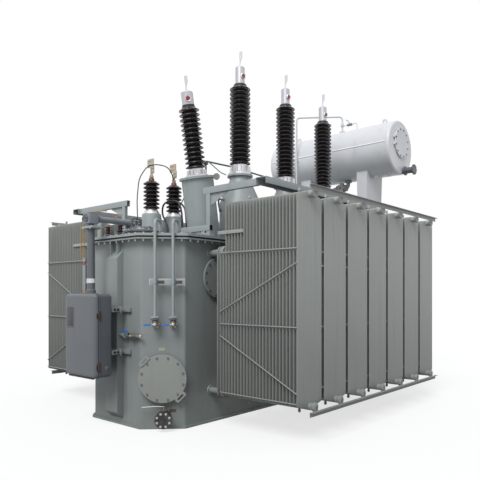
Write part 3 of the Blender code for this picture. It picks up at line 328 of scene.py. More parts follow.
# Opaque window glass painted dark as the shade inside the cabinet
windowGlassPaintedShade = makeFinish("windowGlassPaintedShade", (0.022, 0.030, 0.040), 0.22, dust=0.02, coat=0.2, grainDepth=0.00002)
beigeTerminal = makeFinish("beigeTerminal", (0.46, 0.40, 0.30), 0.4, metallic=0.5, grainScale=400)
redBrown = makeFinish("redBrownSeal", (0.16, 0.045, 0.03), 0.45, dust=0.05, grainScale=500)
darkZinc = makeFinish("darkZinc", (0.15, 0.155, 0.15), 0.5, metallic=0.5, dust=0.2, grainScale=500)
casingGrey = makeFinish("casingGrey", (0.20, 0.212, 0.242), 0.38, streaks=0.10, dust=0.10)
dullPlate = makeFinish("dullPlate", (0.33, 0.33, 0.28), 0.5, metallic=0.2, grainScale=400)
windowSeal = makeFinish("windowSeal", (0.13, 0.12, 0.11), 0.5, grainScale=500)
glazeRed = makeFinish("redBrownGlaze", (0.055, 0.020, 0.014), 0.25, dust=0.05, coat=0.3, grainScale=200)
darkBronze = makeFinish("darkBronze", (0.085, 0.060, 0.045), 0.42, metallic=0.4, grainScale=400)
print("finishes ready")


# Shapes

def level(x, y, z):
    return Matrix.Translation((x, y, z))


def aimed(place, direction):
    # Local Z points along the direction
    turn = Vector(direction).normalized().to_track_quat("Z", "Y").to_matrix().to_4x4()
    return Matrix.Translation(place) @ turn


def addLathe(work, profile, place, sides=32, mat=0):
    # Profile of (radius, height) from the top down the outer side; radius 0 closes it
    rings = []
    for radius, height in profile:
        if radius < 1e-6:
            rings.append([work.verts.new(place @ Vector((0, 0, height)))])
            continue
        rings.append([work.verts.new(place @ Vector((radius * cos(2 * pi * i / sides),
                                                     radius * sin(2 * pi * i / sides), height)))
                      for i in range(sides)])
    for upper, lower in zip(rings, rings[1:]):
        m, n = len(upper), len(lower)
        for i in range(sides):
            j = (i + 1) % sides
            corners = list(dict.fromkeys([upper[i % m], lower[i % n], lower[j % n], upper[j % m]]))
            if len(corners) > 2:
                work.faces.new(corners).material_index = mat


def roundPath(points, bend):
    # The same path with its corners rounded
    steps = 5
    points = [Vector(p) for p in points]
    path = [points[0]]
    for before, here, after in zip(points, points[1:], points[2:]):
        back, ahead = before - here, after - here
        reach = min(bend, back.length * 0.48, ahead.length * 0.48)
        start, end = here + back.normalized() * reach, here + ahead.normalized() * reach
        for i in range(steps + 1):
            t = i / steps
            path.append(start * (1 - t) ** 2 + here * 2 * t * (1 - t) + end * t ** 2)
    path.append(points[-1])
    return path


def addTube(work, points, radius, sides=14, mat=0, bend=0.0):
    # A round bar along the path, closed at both ends
    path = roundPath(points, bend) if bend else [Vector(p) for p in points]
    turns = [2 * pi * k / sides for k in range(sides)]
    rings = []
    side = None
    for i, here in enumerate(path):
        ahead = path[min(i + 1, len(path) - 1)] - path[max(i - 1, 0)]
        ahead.normalize()
        if side is None:
            side = ahead.orthogonal() if abs(ahead.z) > 0.9 else ahead.cross(Vector((0, 0, 1)))
        side = (side - ahead * side.dot(ahead)).normalized()
        other = ahead.cross(side)
        rings.append([work.verts.new(here + side * radius * cos(a) + other * radius * sin(a)) for a in turns])
    for first, second in zip(rings, rings[1:]):
        for k in range(sides):
            n = (k + 1) % sides
            work.faces.new((first[k], first[n], second[n], second[k])).material_index = mat
    work.faces.new(list(reversed(rings[0]))).material_index = mat
    work.faces.new(rings[-1]).material_index = mat


def addPrism(work, outline, bottom, top, place=None, bevel=0.0, mat=0):
    # A flat outline in local XY raised from bottom to top along local Z
    place = place or Matrix()
    lower = [work.verts.new((u, v, bottom)) for u, v in outline]
    upper = [work.verts.new((u, v, top)) for u, v in outline]
    faces = [work.faces.new(list(reversed(lower))), work.faces.new(upper)]
    count = len(outline)
    for i in range(count):
        j = (i + 1) % count
        faces.append(work.faces.new((lower[i], lower[j], upper[j], upper[i])))
    for face in faces:
        face.material_index = mat
    verts = lower + upper
    if bevel:
        edges = list({edge for vert in verts for edge in vert.link_edges})
        made = bmesh.ops.bevel(work, geom=edges, offset=bevel, segments=2, profile=0.7, affect="EDGES",
                               clamp_overlap=True)
        # The bevel makes new vertices, so all that hangs together is collected again
        found = set()
        stack = [vert for face in made["faces"] for vert in face.verts]
        while stack:
            vert = stack.pop()
            if vert not in found:
                found.add(vert)
                stack += [edge.other_vert(vert) for edge in vert.link_edges]
        for face in {face for vert in found for face in vert.link_faces}:
            face.material_index = mat
        verts = list(found)
    bmesh.ops.transform(work, matrix=place, verts=verts)
    return verts


def addBlock(work, low, high, place=None, bevel=0.003, mat=0):
    outline = [(low[0], low[1]), (high[0], low[1]), (high[0], high[1]), (low[0], high[1])]
    addPrism(work, outline, low[2], high[2], place, bevel, mat)


def addSlotted(work, outer, inner, bottom, top, place):
    # A flat plate with a hole; both outlines have the same number of points
    rings = []
    for outline, height in ((outer, bottom), (outer, top), (inner, top), (inner, bottom)):
        rings.append([work.verts.new(place @ Vector((u, v, height))) for u, v in outline])
    count = len(outer)
    for a, b in zip(rings, rings[1:] + rings[:1]):
        for i in range(count):
            j = (i + 1) % count
            work.faces.new((a[i], a[j], b[j], b[i]))


def addCylinder(work, radius, low, high, place, sides=24, mat=0):
    # Plain and sharp-edged, from one height on the place's local Z to another
    addLathe(work, [(0, high), (radius, high), (radius, low), (0, low)], place, sides, mat)


def addCollar(work, outer, inner, low, high, place, sides=24, mat=0):
    # A ring with a square section about the place's local Z
    profile = [(outer, high), (outer, low), (inner, low), (inner, high), (outer, high)]
    addLathe(work, profile, place, sides, mat)


def addDisc(work, radius, thickness, place, sides=24, mat=0):
    # A flange or a boss from the place along its local Z, with eased edges
    edge = 0.002
    addLathe(work, [(0, thickness), (radius - edge, thickness), (radius, thickness - edge), (radius, edge),
                    (radius - edge, 0), (0, 0)], place, sides, mat)


def roundedBox(left, right, low, high, corner, steps=5):
    points = []
    for x, z, start in ((right - corner, high - corner, 0), (left + corner, high - corner, 90),
                        (left + corner, low + corner, 180), (right - corner, low + corner, 270)):
        for i in range(steps + 1):
            angle = radians(start + 90 * i / steps)
            points.append((x + corner * cos(angle), z + corner * sin(angle)))
    return points


def seenAlongX(x):
    # Local X becomes world Y, local Y becomes world Z, local Z becomes world X
    return Matrix(((0, 0, 1, x), (1, 0, 0, 0), (0, 1, 0, 0), (0, 0, 0, 1)))


def seenAlongY(y):
    # Local X stays, local Y becomes world Z, local Z becomes world -Y
    return Matrix(((1, 0, 0, 0), (0, 0, -1, y), (0, 1, 0, 0), (0, 0, 0, 1)))


def makePiece(name, work, materials, body=mainBody, replaced=(), sharp=32):
    # Turns the collected shapes into one finished piece that rides on a body
    if isinstance(work, bpy.types.Mesh):
        mesh = work
    else:
        bmesh.ops.recalc_face_normals(work, faces=work.faces)
        mesh = bpy.data.meshes.new(name)
        work.to_mesh(mesh)
        work.free()
        for material in materials:
            mesh.materials.append(material)
    mesh.shade_smooth()
    mesh.set_sharp_from_angle(angle=radians(sharp))
    piece = bpy.data.objects.new(name, mesh)
    bpy.context.scene.collection.objects.link(piece)
    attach(piece, body)
    if replaced:
        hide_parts(*replaced)


# Geometry Nodes for what repeats

def identifierOf(tree, name):
    for item in tree.interface.items_tree:
        if item.item_type == "SOCKET" and item.in_out == "INPUT" and item.name == name:
            return item.identifier
    raise ValueError(name)


def grownMesh(tree, carrier, values):
    # Runs the tree on the carrier mesh and gives back a plain mesh
    host = bpy.data.objects.new("host", carrier)
    bpy.context.scene.collection.objects.link(host)
    change = host.modifiers.new("grow", "NODES")
    change.node_group = tree
    for name, value in values.items():
        change[identifierOf(tree, name)] = value
    bpy.context.view_layer.update()
    grown = host.evaluated_get(bpy.context.evaluated_depsgraph_get())
    result = bpy.data.meshes.new_from_object(grown)
    bpy.data.objects.remove(host, do_unlink=True)
    return result


def finishCopies(tree, begin, spread):
    # The copies leave the tree as real geometry in its finish
    end = tree.nodes.new("NodeGroupOutput")
    real = addNode(tree, "GeometryNodeRealizeInstances", {0: spread.outputs[0]})
    values = {"Geometry": real.outputs[0], "Material": begin.outputs["Finish"]}
    finish = addNode(tree, "GeometryNodeSetMaterial", values)
    tree.links.new(finish.outputs[0], end.inputs[0])


def boltTree():
    # A hexagon head on a round washer at every point, along the point's own direction
    tree = bpy.data.node_groups.new("hexBolts", "GeometryNodeTree")
    socketsOf(tree, [("Geometry", "Geometry", None), ("Head Radius", "Float", 0.015),
                     ("Head Height", "Float", 0.012), ("Washer Radius", "Float", 0.02),
                     ("Washer Height", "Float", 0.003), ("Finish", "Material", None)],
              [("Geometry", "Geometry")])
    begin = tree.nodes.new("NodeGroupInput")
    join = tree.nodes.new("GeometryNodeJoinGeometry")
    for sides, part, under in ((6, "Head", "Washer Height"), (12, "Washer", None)):
        height = begin.outputs[f"{part} Height"]
        values = {"Vertices": sides, "Radius": begin.outputs[f"{part} Radius"], "Depth": height}
        disc = addNode(tree, "GeometryNodeMeshCylinder", values)
        lift = calc(tree, "ADD", calc(tree, "MULTIPLY", height, 0.5), begin.outputs[under] if under else 0.0)
        offset = addNode(tree, "ShaderNodeCombineXYZ", {"Z": lift})
        values = {"Geometry": disc.outputs["Mesh"], "Translation": offset.outputs[0]}
        move = addNode(tree, "GeometryNodeTransform", values)
        tree.links.new(move.outputs[0], join.inputs[0])
    aim = tree.nodes.new("GeometryNodeInputNamedAttribute")
    aim.data_type = "FLOAT_VECTOR"
    aim.inputs["Name"].default_value = "aim"
    turn = tree.nodes.new("FunctionNodeAlignRotationToVector")
    turn.axis = "Z"
    feed(tree, turn, {"Vector": aim.outputs["Attribute"]})
    values = {"Points": begin.outputs["Geometry"], "Instance": join.outputs[0], "Rotation": turn.outputs[0]}
    finishCopies(tree, begin, addNode(tree, "GeometryNodeInstanceOnPoints", values))
    return tree


def rowTree():
    # Copies of one part in a straight row
    tree = bpy.data.node_groups.new("partRow", "GeometryNodeTree")
    socketsOf(tree, [("Geometry", "Geometry", None), ("Part", "Object", None), ("Count", "Int", 2),
                     ("Start", "Vector", None), ("Step", "Vector", None), ("Finish", "Material", None)],
              [("Geometry", "Geometry")])
    begin = tree.nodes.new("NodeGroupInput")
    line = tree.nodes.new("GeometryNodeMeshLine")
    line.mode = "OFFSET"
    feed(tree, line, {"Count": begin.outputs["Count"], "Start Location": begin.outputs["Start"],
                      "Offset": begin.outputs["Step"]})
    part = addNode(tree, "GeometryNodeObjectInfo", {"Object": begin.outputs["Part"]})
    values = {"Points": line.outputs["Mesh"], "Instance": part.outputs["Geometry"]}
    finishCopies(tree, begin, addNode(tree, "GeometryNodeInstanceOnPoints", values))
    return tree


hexBolts = boltTree()
partRow = rowTree()
washerHeight = 0.003


def boltMesh(spots, radius=0.015, height=0.012, washer=0.02, material=zincBolt):
    # spots: pairs of a place and the direction that the bolt's head points in
    carrier = bpy.data.meshes.new("spots")
    carrier.from_pydata([tuple(place) for place, _ in spots], [], [])
    aim = carrier.attributes.new("aim", "FLOAT_VECTOR", "POINT")
    for item, (_, direction) in zip(aim.data, spots):
        item.vector = direction
    return grownMesh(hexBolts, carrier, {
        "Head Radius": radius, "Head Height": height, "Washer Radius": washer, "Washer Height": washerHeight,
        "Finish": material,
    })


def boltPiece(name, groups):
    # Several bolt meshes become one piece
    joined = bmesh.new()
    for mesh in groups:
        joined.from_mesh(mesh)
    mesh = bpy.data.meshes.new(name)
    joined.to_mesh(mesh)
    joined.free()
    for material in groups[0].materials:
        mesh.materials.append(material)
    makePiece(name, mesh, [], sharp=20)


def ringSpots(place, radius, count, height=0.0, start=0.0):
    # Bolt places on a circle about a place's local Z
    spots = []
    up = place.to_3x3() @ Vector((0, 0, 1))
    for i in range(count):
        angle = radians(start) + 2 * pi * i / count
        spots.append((place @ Vector((radius * cos(angle), radius * sin(angle), height)), up))
    return spots


def rowMesh(prototype, count, start, step, material):
    part = bpy.data.objects.new("prototype", prototype)
    bpy.context.scene.collection.objects.link(part)
    carrier = bpy.data.meshes.new("carrier")
    mesh = grownMesh(partRow, carrier, {
        "Part": part, "Count": count, "Start": start, "Step": step, "Finish": material,
    })
    bpy.data.objects.remove(part, do_unlink=True)
    return mesh


def boxOf(node):
    low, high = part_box(node)
    return low, high, (low + high) / 2


# Radiators: 26 pressed panels on round headers, with a gooseneck down to the tank's valve

radiatorValues = {
    "panelCount": 26, "shortCount": 3, "panelPitch": 0.05, "panelWidth": 0.52, "panelOuter": 2.55,
    "channels": 7, "perChannel": 4, "crestHalf": 0.0075, "valleyHalf": 0.0052, "edgeHalf": 0.0048,
    "shoulder": 0.03, "tipHalf": 0.042, "seam": 0.006, "seamEnd": 0.55, "tipRise": 0.72,
    "rows": ((0.0, 0.35), (0.018, 0.9), (0.07, 1.0), (-0.07, 1.0), (-0.018, 0.9), (0.0, 0.35)),
    "headerBottom": 0.435, "headerSpacing": 2.50, "legDrop": 0.62, "headerRadius": 0.0445, "bend": 0.085,
    "neckX": 1.39, "stubX": 1.2003, "endX": 2.64, "endRadius": 0.056, "plugX": (2.40, 1.62),
    "flangeRadius": 0.085, "flange": 0.028, "lugBase": 0.05, "lugTip": 0.028, "lugHeight": 0.082,
}


def panelMesh(bottom, top):
    # One pressed panel in the YZ plane: channels side by side, thin seams round the edge
    v = radiatorValues
    half = v["panelWidth"] / 2
    flat = v["edgeHalf"]
    columns = []
    total = v["channels"] * v["perChannel"]
    for i in range(total + 1):
        y = -half + 2 * half * i / total
        wave = 0.5 - 0.5 * cos(2 * pi * i / v["perChannel"])
        thick = v["valleyHalf"] + (v["crestHalf"] - v["valleyHalf"]) * wave
        if i in (0, total):
            thick = flat * v["seamEnd"]
        columns.append((y, thick))
    columns.insert(1, (-half + v["seam"], flat))
    columns.insert(len(columns) - 1, (half - v["seam"], flat))

    def edgeHeight(y, centre, sign):
        # The shoulder lies inside the header's line and the tip reaches past it
        slope = max(0.0, (abs(y) - v["tipHalf"]) / (half - v["tipHalf"]))
        return centre - sign * (v["headerRadius"] * v["tipRise"] * (1 - slope) - v["shoulder"] * slope)

    rows = v["rows"]
    work = bmesh.new()
    sides = []
    for sign in (1, -1):
        grid = []
        for index, (shift, share) in enumerate(rows):
            line = []
            for y, thick in columns:
                edge = edgeHeight(y, bottom, 1) if index < len(rows) / 2 else edgeHeight(y, top, -1)
                t = flat * share if share < 0.5 else flat + (thick - flat) * (share - 0.4) / 0.6
                line.append(work.verts.new((sign * t, y, edge + shift)))
            grid.append(line)
        sides.append(grid)
        for a, b in zip(grid, grid[1:]):
            for i in range(len(a) - 1):
                loop = (a[i], a[i + 1], b[i + 1], b[i])
                work.faces.new(loop if sign > 0 else loop[::-1])
    front, back = sides
    rim = ([(front[0][i], back[0][i]) for i in range(len(columns))]
           + [(front[r][-1], back[r][-1]) for r in range(1, len(rows))]
           + [(front[-1][i], back[-1][i]) for i in range(len(columns) - 2, -1, -1)]
           + [(front[r][0], back[r][0]) for r in range(len(rows) - 2, 0, -1)])
    for i in range(len(rim)):
        a, b = rim[i]
        c, d = rim[(i + 1) % len(rim)]
        work.faces.new((a, b, d, c))
    bmesh.ops.recalc_face_normals(work, faces=work.faces)
    mesh = bpy.data.meshes.new("panel")
    work.to_mesh(mesh)
    work.free()
    return mesh


def headerShapes(work):
    # Round headers, end discs, plugs and lugs, drawn for the right bank about y = 0
    v = radiatorValues
    low = v["headerBottom"]
    high = low + v["headerSpacing"]
    leg = high - v["legDrop"]
    radius, end, neck, stub = v["headerRadius"], v["endX"], v["neckX"], v["stubX"]
    addTube(work, [(end - 0.01, 0, low), (stub, 0, low)], radius, 20)
    gooseneck = [(end - 0.01, 0, high), (neck, 0, high), (neck, 0, leg), (stub, 0, leg)]
    addTube(work, gooseneck, radius, 20, bend=v["bend"])
    for z in (low, leg):
        addCylinder(work, v["flangeRadius"], 0, v["flange"], aimed((stub, 0, z), (1, 0, 0)), 28)
    disc = [(0, 0.0), (v["endRadius"] - 0.012, 0.0), (v["endRadius"], -0.008), (v["endRadius"], -0.03),
            (radius, -0.05), (radius, -0.06), (0, -0.06)]
    plug = [(0, 0.05), (0.011, 0.05), (0.018, 0.04), (0.018, 0.015), (0.013, 0.012), (0.013, 0), (0, 0)]
    base, tip = v["lugBase"], v["lugTip"]
    for z, sign in ((low, -1), (high, 1)):
        addLathe(work, disc, aimed((end, 0, z), (1, 0, 0)), 28)
        # Plugs that drain or vent the header
        for x in v["plugX"]:
            addLathe(work, plug, aimed((x, 0, z + sign * (radius - 0.003)), (0, 0, sign)), 12)
        # Rounded gusset from the end disc to the rail
        tall = v["lugHeight"] * sign
        lug = [(-base, 0.0), (base, 0.0), (tip + 0.006, tall * 0.82), (tip * 0.6, tall), (-tip * 0.6, tall),
               (-tip - 0.006, tall * 0.82)]
        verts = addPrism(work, lug, -0.012, -0.004, seenAlongX(end), 0.0015)
        bmesh.ops.translate(work, vec=(0, 0, z), verts=verts)
        # Near-black disc flush with the end disc's face: painted shade standing in for a recessed plug in its
        # middle
        addCylinder(work, 0.019, -0.01, 0.004, aimed((end - 0.004, 0, z), (1, 0, 0)), 18, mat=1)


def makeRadiators():
    v = radiatorValues
    high = v["headerBottom"] + v["headerSpacing"]
    tallCount = v["panelCount"] - v["shortCount"]
    step = (-v["panelPitch"], 0, 0)
    outermost = v["panelOuter"] - v["crestHalf"]
    tall = rowMesh(panelMesh(v["headerBottom"], high), tallCount, (outermost, 0, 0), step, radiatorGrey)
    first = outermost - v["panelPitch"] * tallCount
    shortPanel = panelMesh(v["headerBottom"], high - v["legDrop"])
    short = rowMesh(shortPanel, v["shortCount"], (first, 0, 0), step, radiatorGrey)
    work = bmesh.new()
    work.from_mesh(tall)
    work.from_mesh(short)
    for face in work.faces:
        face.material_index = 0
    headerShapes(work)
    master = bpy.data.meshes.new("radiator")
    bmesh.ops.recalc_face_normals(work, faces=work.faces)
    work.to_mesh(master)
    work.free()
    for material in (radiatorGrey, paintedHoleShade):
        master.materials.append(material)
    for side in ("right", "left"):
        for i in range(1, 8):
            node = f"radiator_{side}_{i}"
            mesh = master.copy()
            turn = Matrix.Rotation(pi if side == "left" else 0, 4, "Z")
            mesh.transform(level(0, boxOf(node)[2].y, 0) @ turn)
            name = f"radiator{side.capitalize()}{i}"
            makePiece(name, mesh, [], replaced=(node,), sharp=40)


makeRadiators()
print("radiators ready")


# Tank with bent corners, rim, foot, stiffeners and stubs

tankValues = {
    "half": 0.9225, "end": 2.95, "height": 2.50, "chamfer": 0.404, "bend": 0.025,
    "rim": 0.10, "rimThick": 0.03, "rimBend": 0.03, "foot": 0.035, "footThick": 0.03, "footBend": 0.02,
    "sealHalf": 0.012, "sealInset": 0.012, "boltGap": 0.136, "boltInset": 0.045,
    # Outline of a stiffener as distances out from the end wall and heights, and its width in X
    "stiffener": ((0.0, 0.08), (0.10, 0.17), (0.10, 2.24), (0.0, 2.34)), "stiffenerX": (-0.12, 0.145),
    "rib": ((0.0, 2.33), (0.06, 2.28), (0.06, 2.468), (0.0, 2.468)), "ribX": (-0.062, 0.085),
    "ribHalf": 0.010,
    "stubLevels": (0.435, 2.315), "stubRadius": 0.0455, "stubLength": 0.2775, "flangeRadius": 0.085,
    # Each disc on a stub: how far its faces are from the stub's end, and how much narrower it is
    "stubDiscs": ((0.022, 0.0005, 0.0), (0.05, 0.026, 0.008), (0.078, 0.054, 0.0)),
    "neckRadius": 0.25, "manholeZ": 0.66, "manholeNeck": 0.07, "handholeNeck": 0.02,
    "bracketZ": (0.99, 1.55), "plateX": (0.140, 0.335), "bracketX": (-0.10, 0.23),
    "bracketY": (-3.1987, -3.04), "bracketHalf": 0.03, "bracketSheet": 0.008,
    "bracketBoltX": (-0.06, 0.19), "bracketBoltY": (-3.10, -3.15),
}


def chamferSpot(along, height, out=0.0):
    # A place on the right chamfer: along it to the right, up, and out from its face
    v = tankValues
    x = v["half"] - v["chamfer"] / 2
    y = -v["end"] + v["chamfer"] / 2
    return Vector((x + (along + out) * diagonal, y + (along - out) * diagonal, height))


chamferOut = Vector((diagonal, -diagonal, 0))


def tankPlan(margin, bend):
    # The tank seen from above, with its bends rounded
    v = tankValues
    half, end = v["half"] + margin, v["end"] + margin
    leg = v["chamfer"] + margin * (2 - sqrt(2))
    corners = [(half, -end + leg), (half, end), (-half, end), (-half, -end + leg), (-half + leg, -end),
               (half - leg, -end)]
    if not bend:
        return corners
    count = len(corners)
    points = []
    for i in range(count):
        here = Vector(corners[i])
        back = (Vector(corners[i - 1]) - here).normalized()
        ahead = (Vector(corners[(i + 1) % count]) - here).normalized()
        for k in range(7):
            t = k / 6
            a, b = here + back * bend, here + ahead * bend
            p = a * (1 - t) ** 2 + here * 2 * t * (1 - t) + b * t ** 2
            points.append((p.x, p.y))
    return points


def stubShapes(work, y, z, sign):
    # Stub with a pair of flanges, a flat valve between them and a pad where it meets the wall
    v = tankValues
    length = v["stubLength"]
    start, end = sign * (v["half"] - 0.02), sign * (v["half"] + length)
    addTube(work, [(start, y, z), (end, y, z)], v["stubRadius"], 18)
    place = aimed((sign * v["half"], y, z), (sign, 0, 0))
    for near, far, less in v["stubDiscs"]:
        addCylinder(work, v["flangeRadius"] - less, length - near, length - far, place, 26)
    addLathe(work, [(0, 0.012), (0.066, 0.012), (0.072, 0.0), (0, 0.0)], place, 24)


def bracketShapes(work, z):
    # Folded bracket that the drive cabinet hangs on, and its plate on the stiffener
    v = tankValues
    (left, right), (front, back) = v["bracketX"], v["bracketY"]
    half, sheet = v["bracketHalf"], v["bracketSheet"]
    for low, high in ((-half, sheet - half), (half - sheet, half)):
        addBlock(work, (left, front, z + low), (right, back, z + high), bevel=0.001)
    for low, high in ((left, left + sheet), (right - sheet, right)):
        addBlock(work, (low, front, z - 0.024), (high, back, z + 0.024), bevel=0.001)
    addBlock(work, (left - 0.01, -3.062, z - 0.045), (right + 0.015, -3.05, z + 0.045), bevel=0.002)


def makeTank():
    v = tankValues
    end, top, seal = v["end"], v["height"], v["sealHalf"]
    work = bmesh.new()
    addPrism(work, tankPlan(0, v["bend"]), 0.01, top - 0.01)
    addPrism(work, tankPlan(v["foot"], v["footBend"]), 0.0, v["footThick"], bevel=0.003)
    addPrism(work, tankPlan(v["rim"], v["rimBend"]), top - v["rimThick"], top - seal, bevel=0.003)
    # Box stiffeners on both end walls
    for sign in (-1, 1):
        side = [(sign * (end + out), z) for out, z in v["stiffener"]]
        if sign > 0:
            side = side[::-1]
        addPrism(work, side, *v["stiffenerX"], seenAlongX(0), 0.004)
    # Short ribs from the near stiffener's sloped top up to the rim
    rib = [(-end - out, z) for out, z in v["rib"]]
    for x in v["ribX"]:
        addPrism(work, rib, x - v["ribHalf"], x + v["ribHalf"], seenAlongX(0), 0.001)
    for side, sign in (("right", 1), ("left", -1)):
        for i in range(1, 8):
            for z in v["stubLevels"]:
                stubShapes(work, boxOf(f"radiator_{side}_{i}")[2].y, z, sign)
    # Necks under the round covers
    manhole = aimed(chamferSpot(0, v["manholeZ"]), chamferOut)
    addCylinder(work, v["neckRadius"], 0, v["manholeNeck"], manhole, 40)
    middle = boxOf("handhole_cover")[2]
    handhole = aimed((v["half"], middle.y, middle.z), (1, 0, 0))
    addCylinder(work, v["neckRadius"], 0, v["handholeNeck"], handhole, 40)
    # Flat plates right of the stiffener at both bracket levels
    left, right = v["plateX"]
    for z in v["bracketZ"]:
        addBlock(work, (left, -end - 0.040, z - 0.030), (right, -end + 0.002, z + 0.030), bevel=0.003)
    for z in v["bracketZ"]:
        bracketShapes(work, z)
    makePiece("tankShell", work, [greenGrey], replaced=("tank_shell",))
    # Gasket between the rim and the cover
    gasket = bmesh.new()
    addPrism(gasket, tankPlan(v["rim"] - v["sealInset"], 0.02), top - seal - 0.002, top + seal + 0.002)
    makePiece("coverSeal", gasket, [rubberSeal])
    coverTop = boxOf("tank_cover")[1].z
    cover = bmesh.new()
    addPrism(cover, tankPlan(v["rim"], v["rimBend"]), top + seal, coverTop, bevel=0.004)
    makePiece("tankCover", cover, [paleGrey], replaced=("tank_cover",))
    # Bolts through the rim, all round
    corners = tankPlan(v["rim"] - v["boltInset"], 0)
    heads, nuts = [], []
    for i in range(len(corners)):
        a, b = Vector(corners[i]), Vector(corners[(i + 1) % len(corners)])
        count = max(1, round((b - a).length / v["boltGap"]))
        for k in range(count):
            spot = a.lerp(b, (k + 0.5) / count)
            nuts.append(((spot.x, spot.y, top - v["rimThick"]), (0, 0, -1)))
            heads.append(((spot.x, spot.y, coverTop), (0, 0, 1)))
    brackets = []
    for z in v["bracketZ"]:
        for x, y in zip(v["bracketBoltX"], v["bracketBoltY"]):
            brackets.append(((x, -3.062, z), (0, -1, 0)))
            brackets.append(((v["bracketX"][1], y, z), (1, 0, 0)))
    boltPiece("rimBolts", [boltMesh(nuts, 0.013, 0.026, 0.017), boltMesh(heads, 0.013, 0.012, 0.017)])
    boltPiece("bracketBolts", [boltMesh(brackets, 0.012, 0.012, 0.017, blackPaint)])


makeTank()
print("tank ready")


# Bushings

bushingValues = {
    "hv": {"sheds": 18, "shed": 0.1635, "core": 0.113, "foot": 0.16, "porcelain": 1.23, "cap": 0.31,
           "capRadius": 0.074, "collar": 0.098, "flange": 0.185, "stem": 0.245, "sight": (1, -0.15, 0)},
    "neutral": {"sheds": 13, "shed": 0.15, "core": 0.10, "foot": 0.12, "porcelain": 0.87, "cap": 0.22,
                "capRadius": 0.086, "collar": 0.090, "flange": 0.16, "stem": 0.22, "sight": (0.75, -0.66, 0)},
    "ribs": 10, "bolts": 10,
    "barrel": 0.325, "barrelFoot": 0.36, "barrelNeck": 0.165, "barrelTop": 0.20, "barrelBolts": 20,
    "leanPlace": (0.45, -1.70), "leanTurn": 10, "leanLength": 0.93, "leanRadius": 0.235, "leanTop": 0.265,
    "leanFoot": 0.315, "leanBolts": 16,
}


def shedRing(core, shed, pitch):
    # One shed: flat sloped top, rounded lip and hollow underside
    work = bmesh.new()
    root, drop = pitch * 0.34, pitch * 0.42
    profile = [(core, pitch * 0.5), (core + 0.006, root), (shed - 0.010, root - drop * 0.75),
               (shed - 0.002, root - drop), (shed, root - drop * 1.15), (shed - 0.004, root - drop * 1.35),
               (core + 0.012, root - drop * 0.95), (core, -pitch * 0.30), (core, -pitch * 0.5)]
    addLathe(work, profile, Matrix(), 40)
    bmesh.ops.recalc_face_normals(work, faces=work.faces)
    mesh = bpy.data.meshes.new("shed")
    work.to_mesh(mesh)
    work.free()
    return mesh


def stackedSheds(core, shed, count, length, foot):
    pitch = length / count
    ring = shedRing(core, shed, pitch)
    mesh = rowMesh(ring, count, (0, 0, foot + pitch / 2), (0, 0, pitch), brownGlaze)
    work = bmesh.new()
    work.from_mesh(mesh)
    for face in work.faces:
        face.material_index = 0
    bmesh.ops.remove_doubles(work, verts=work.verts, dist=0.0002)
    edges = [edge for edge in work.edges if edge.is_boundary]
    bmesh.ops.holes_fill(work, edges=edges, sides=60)
    mesh = bpy.data.meshes.new("sheds")
    work.to_mesh(mesh)
    work.free()
    return mesh


def tallBushing(name, node, place, v):
    # Foot flange with bolts, porcelain, cap with a round sight glass, stem and flat terminal
    work = bmesh.new()
    foot, top = v["foot"], v["foot"] + v["porcelain"]
    capTop = top + v["cap"]
    r, f, core = v["capRadius"], v["flange"], v["core"]
    base = [(0, foot), (core * 1.08, foot), (core * 1.08, 0.05), (f * 0.88, 0.04), (f, 0.03), (f, 0), (0, 0)]
    addLathe(work, base, place, 40, mat=1)
    for i in range(bushingValues["ribs"]):
        rib = place @ Matrix.Rotation(2 * pi * i / bushingValues["ribs"], 4, "Z")
        addBlock(work, (core * 1.02, -0.012, 0.03), (f * 0.9, 0.012, foot - 0.02), rib, 0.004, mat=1)
    c = v["collar"]
    collar = [(0, top + 0.035), (c, top + 0.035), (c, top + 0.012), (core * 0.98, top + 0.01),
              (core * 0.98, top - 0.01), (0, top - 0.01)]
    addLathe(work, collar, place, 36, mat=2)
    cap = [(0, capTop), (r - 0.012, capTop), (r, capTop - 0.012), (r, top + 0.03), (0, top + 0.03)]
    addLathe(work, cap, place, 36, mat=4)
    # Bent stem with a small flag for the line
    stem = v["stem"]
    addDisc(work, 0.03, 0.02, place @ level(0, 0, capTop - 0.003), 16, mat=1)
    path = [(0, 0, capTop), (0, 0, capTop + stem * 0.40), (0.016, 0, capTop + stem * 0.55),
            (0.016, 0, capTop + stem * 0.70)]
    addTube(work, [place @ Vector(p) for p in path], 0.012, 12, mat=1, bend=0.02)
    flag = ((-0.012, -0.005, capTop + stem * 0.55), (0.044, 0.005, capTop + stem))
    addBlock(work, *flag, place, 0.002, mat=1)
    # Sight glass: a bezel with a red disc
    aim = place.to_3x3().inverted() @ Vector(v["sight"])
    aim.z = 0
    aim.normalize()
    sight = place @ aimed(aim * (r - 0.012) + Vector((0, 0, top + v["cap"] / 2)), aim)
    bezel = [(0, 0.022), (0.03, 0.022), (0.042, 0.03), (0.046, 0.026), (0.046, 0), (0, 0)]
    addLathe(work, bezel, sight, 24, mat=1)
    addCylinder(work, 0.029, 0.02, 0.026, sight, 20, mat=3)
    sheds = stackedSheds(core, v["shed"], v["sheds"], v["porcelain"], foot)
    sheds.transform(place)
    work.from_mesh(sheds)
    finishes = [brownGlaze, castSilver, blackPaint, redMark, capSilver]
    makePiece(name, work, finishes, replaced=(node,))
    return ringSpots(place, f * 0.86, bushingValues["bolts"], 0.03, 18)


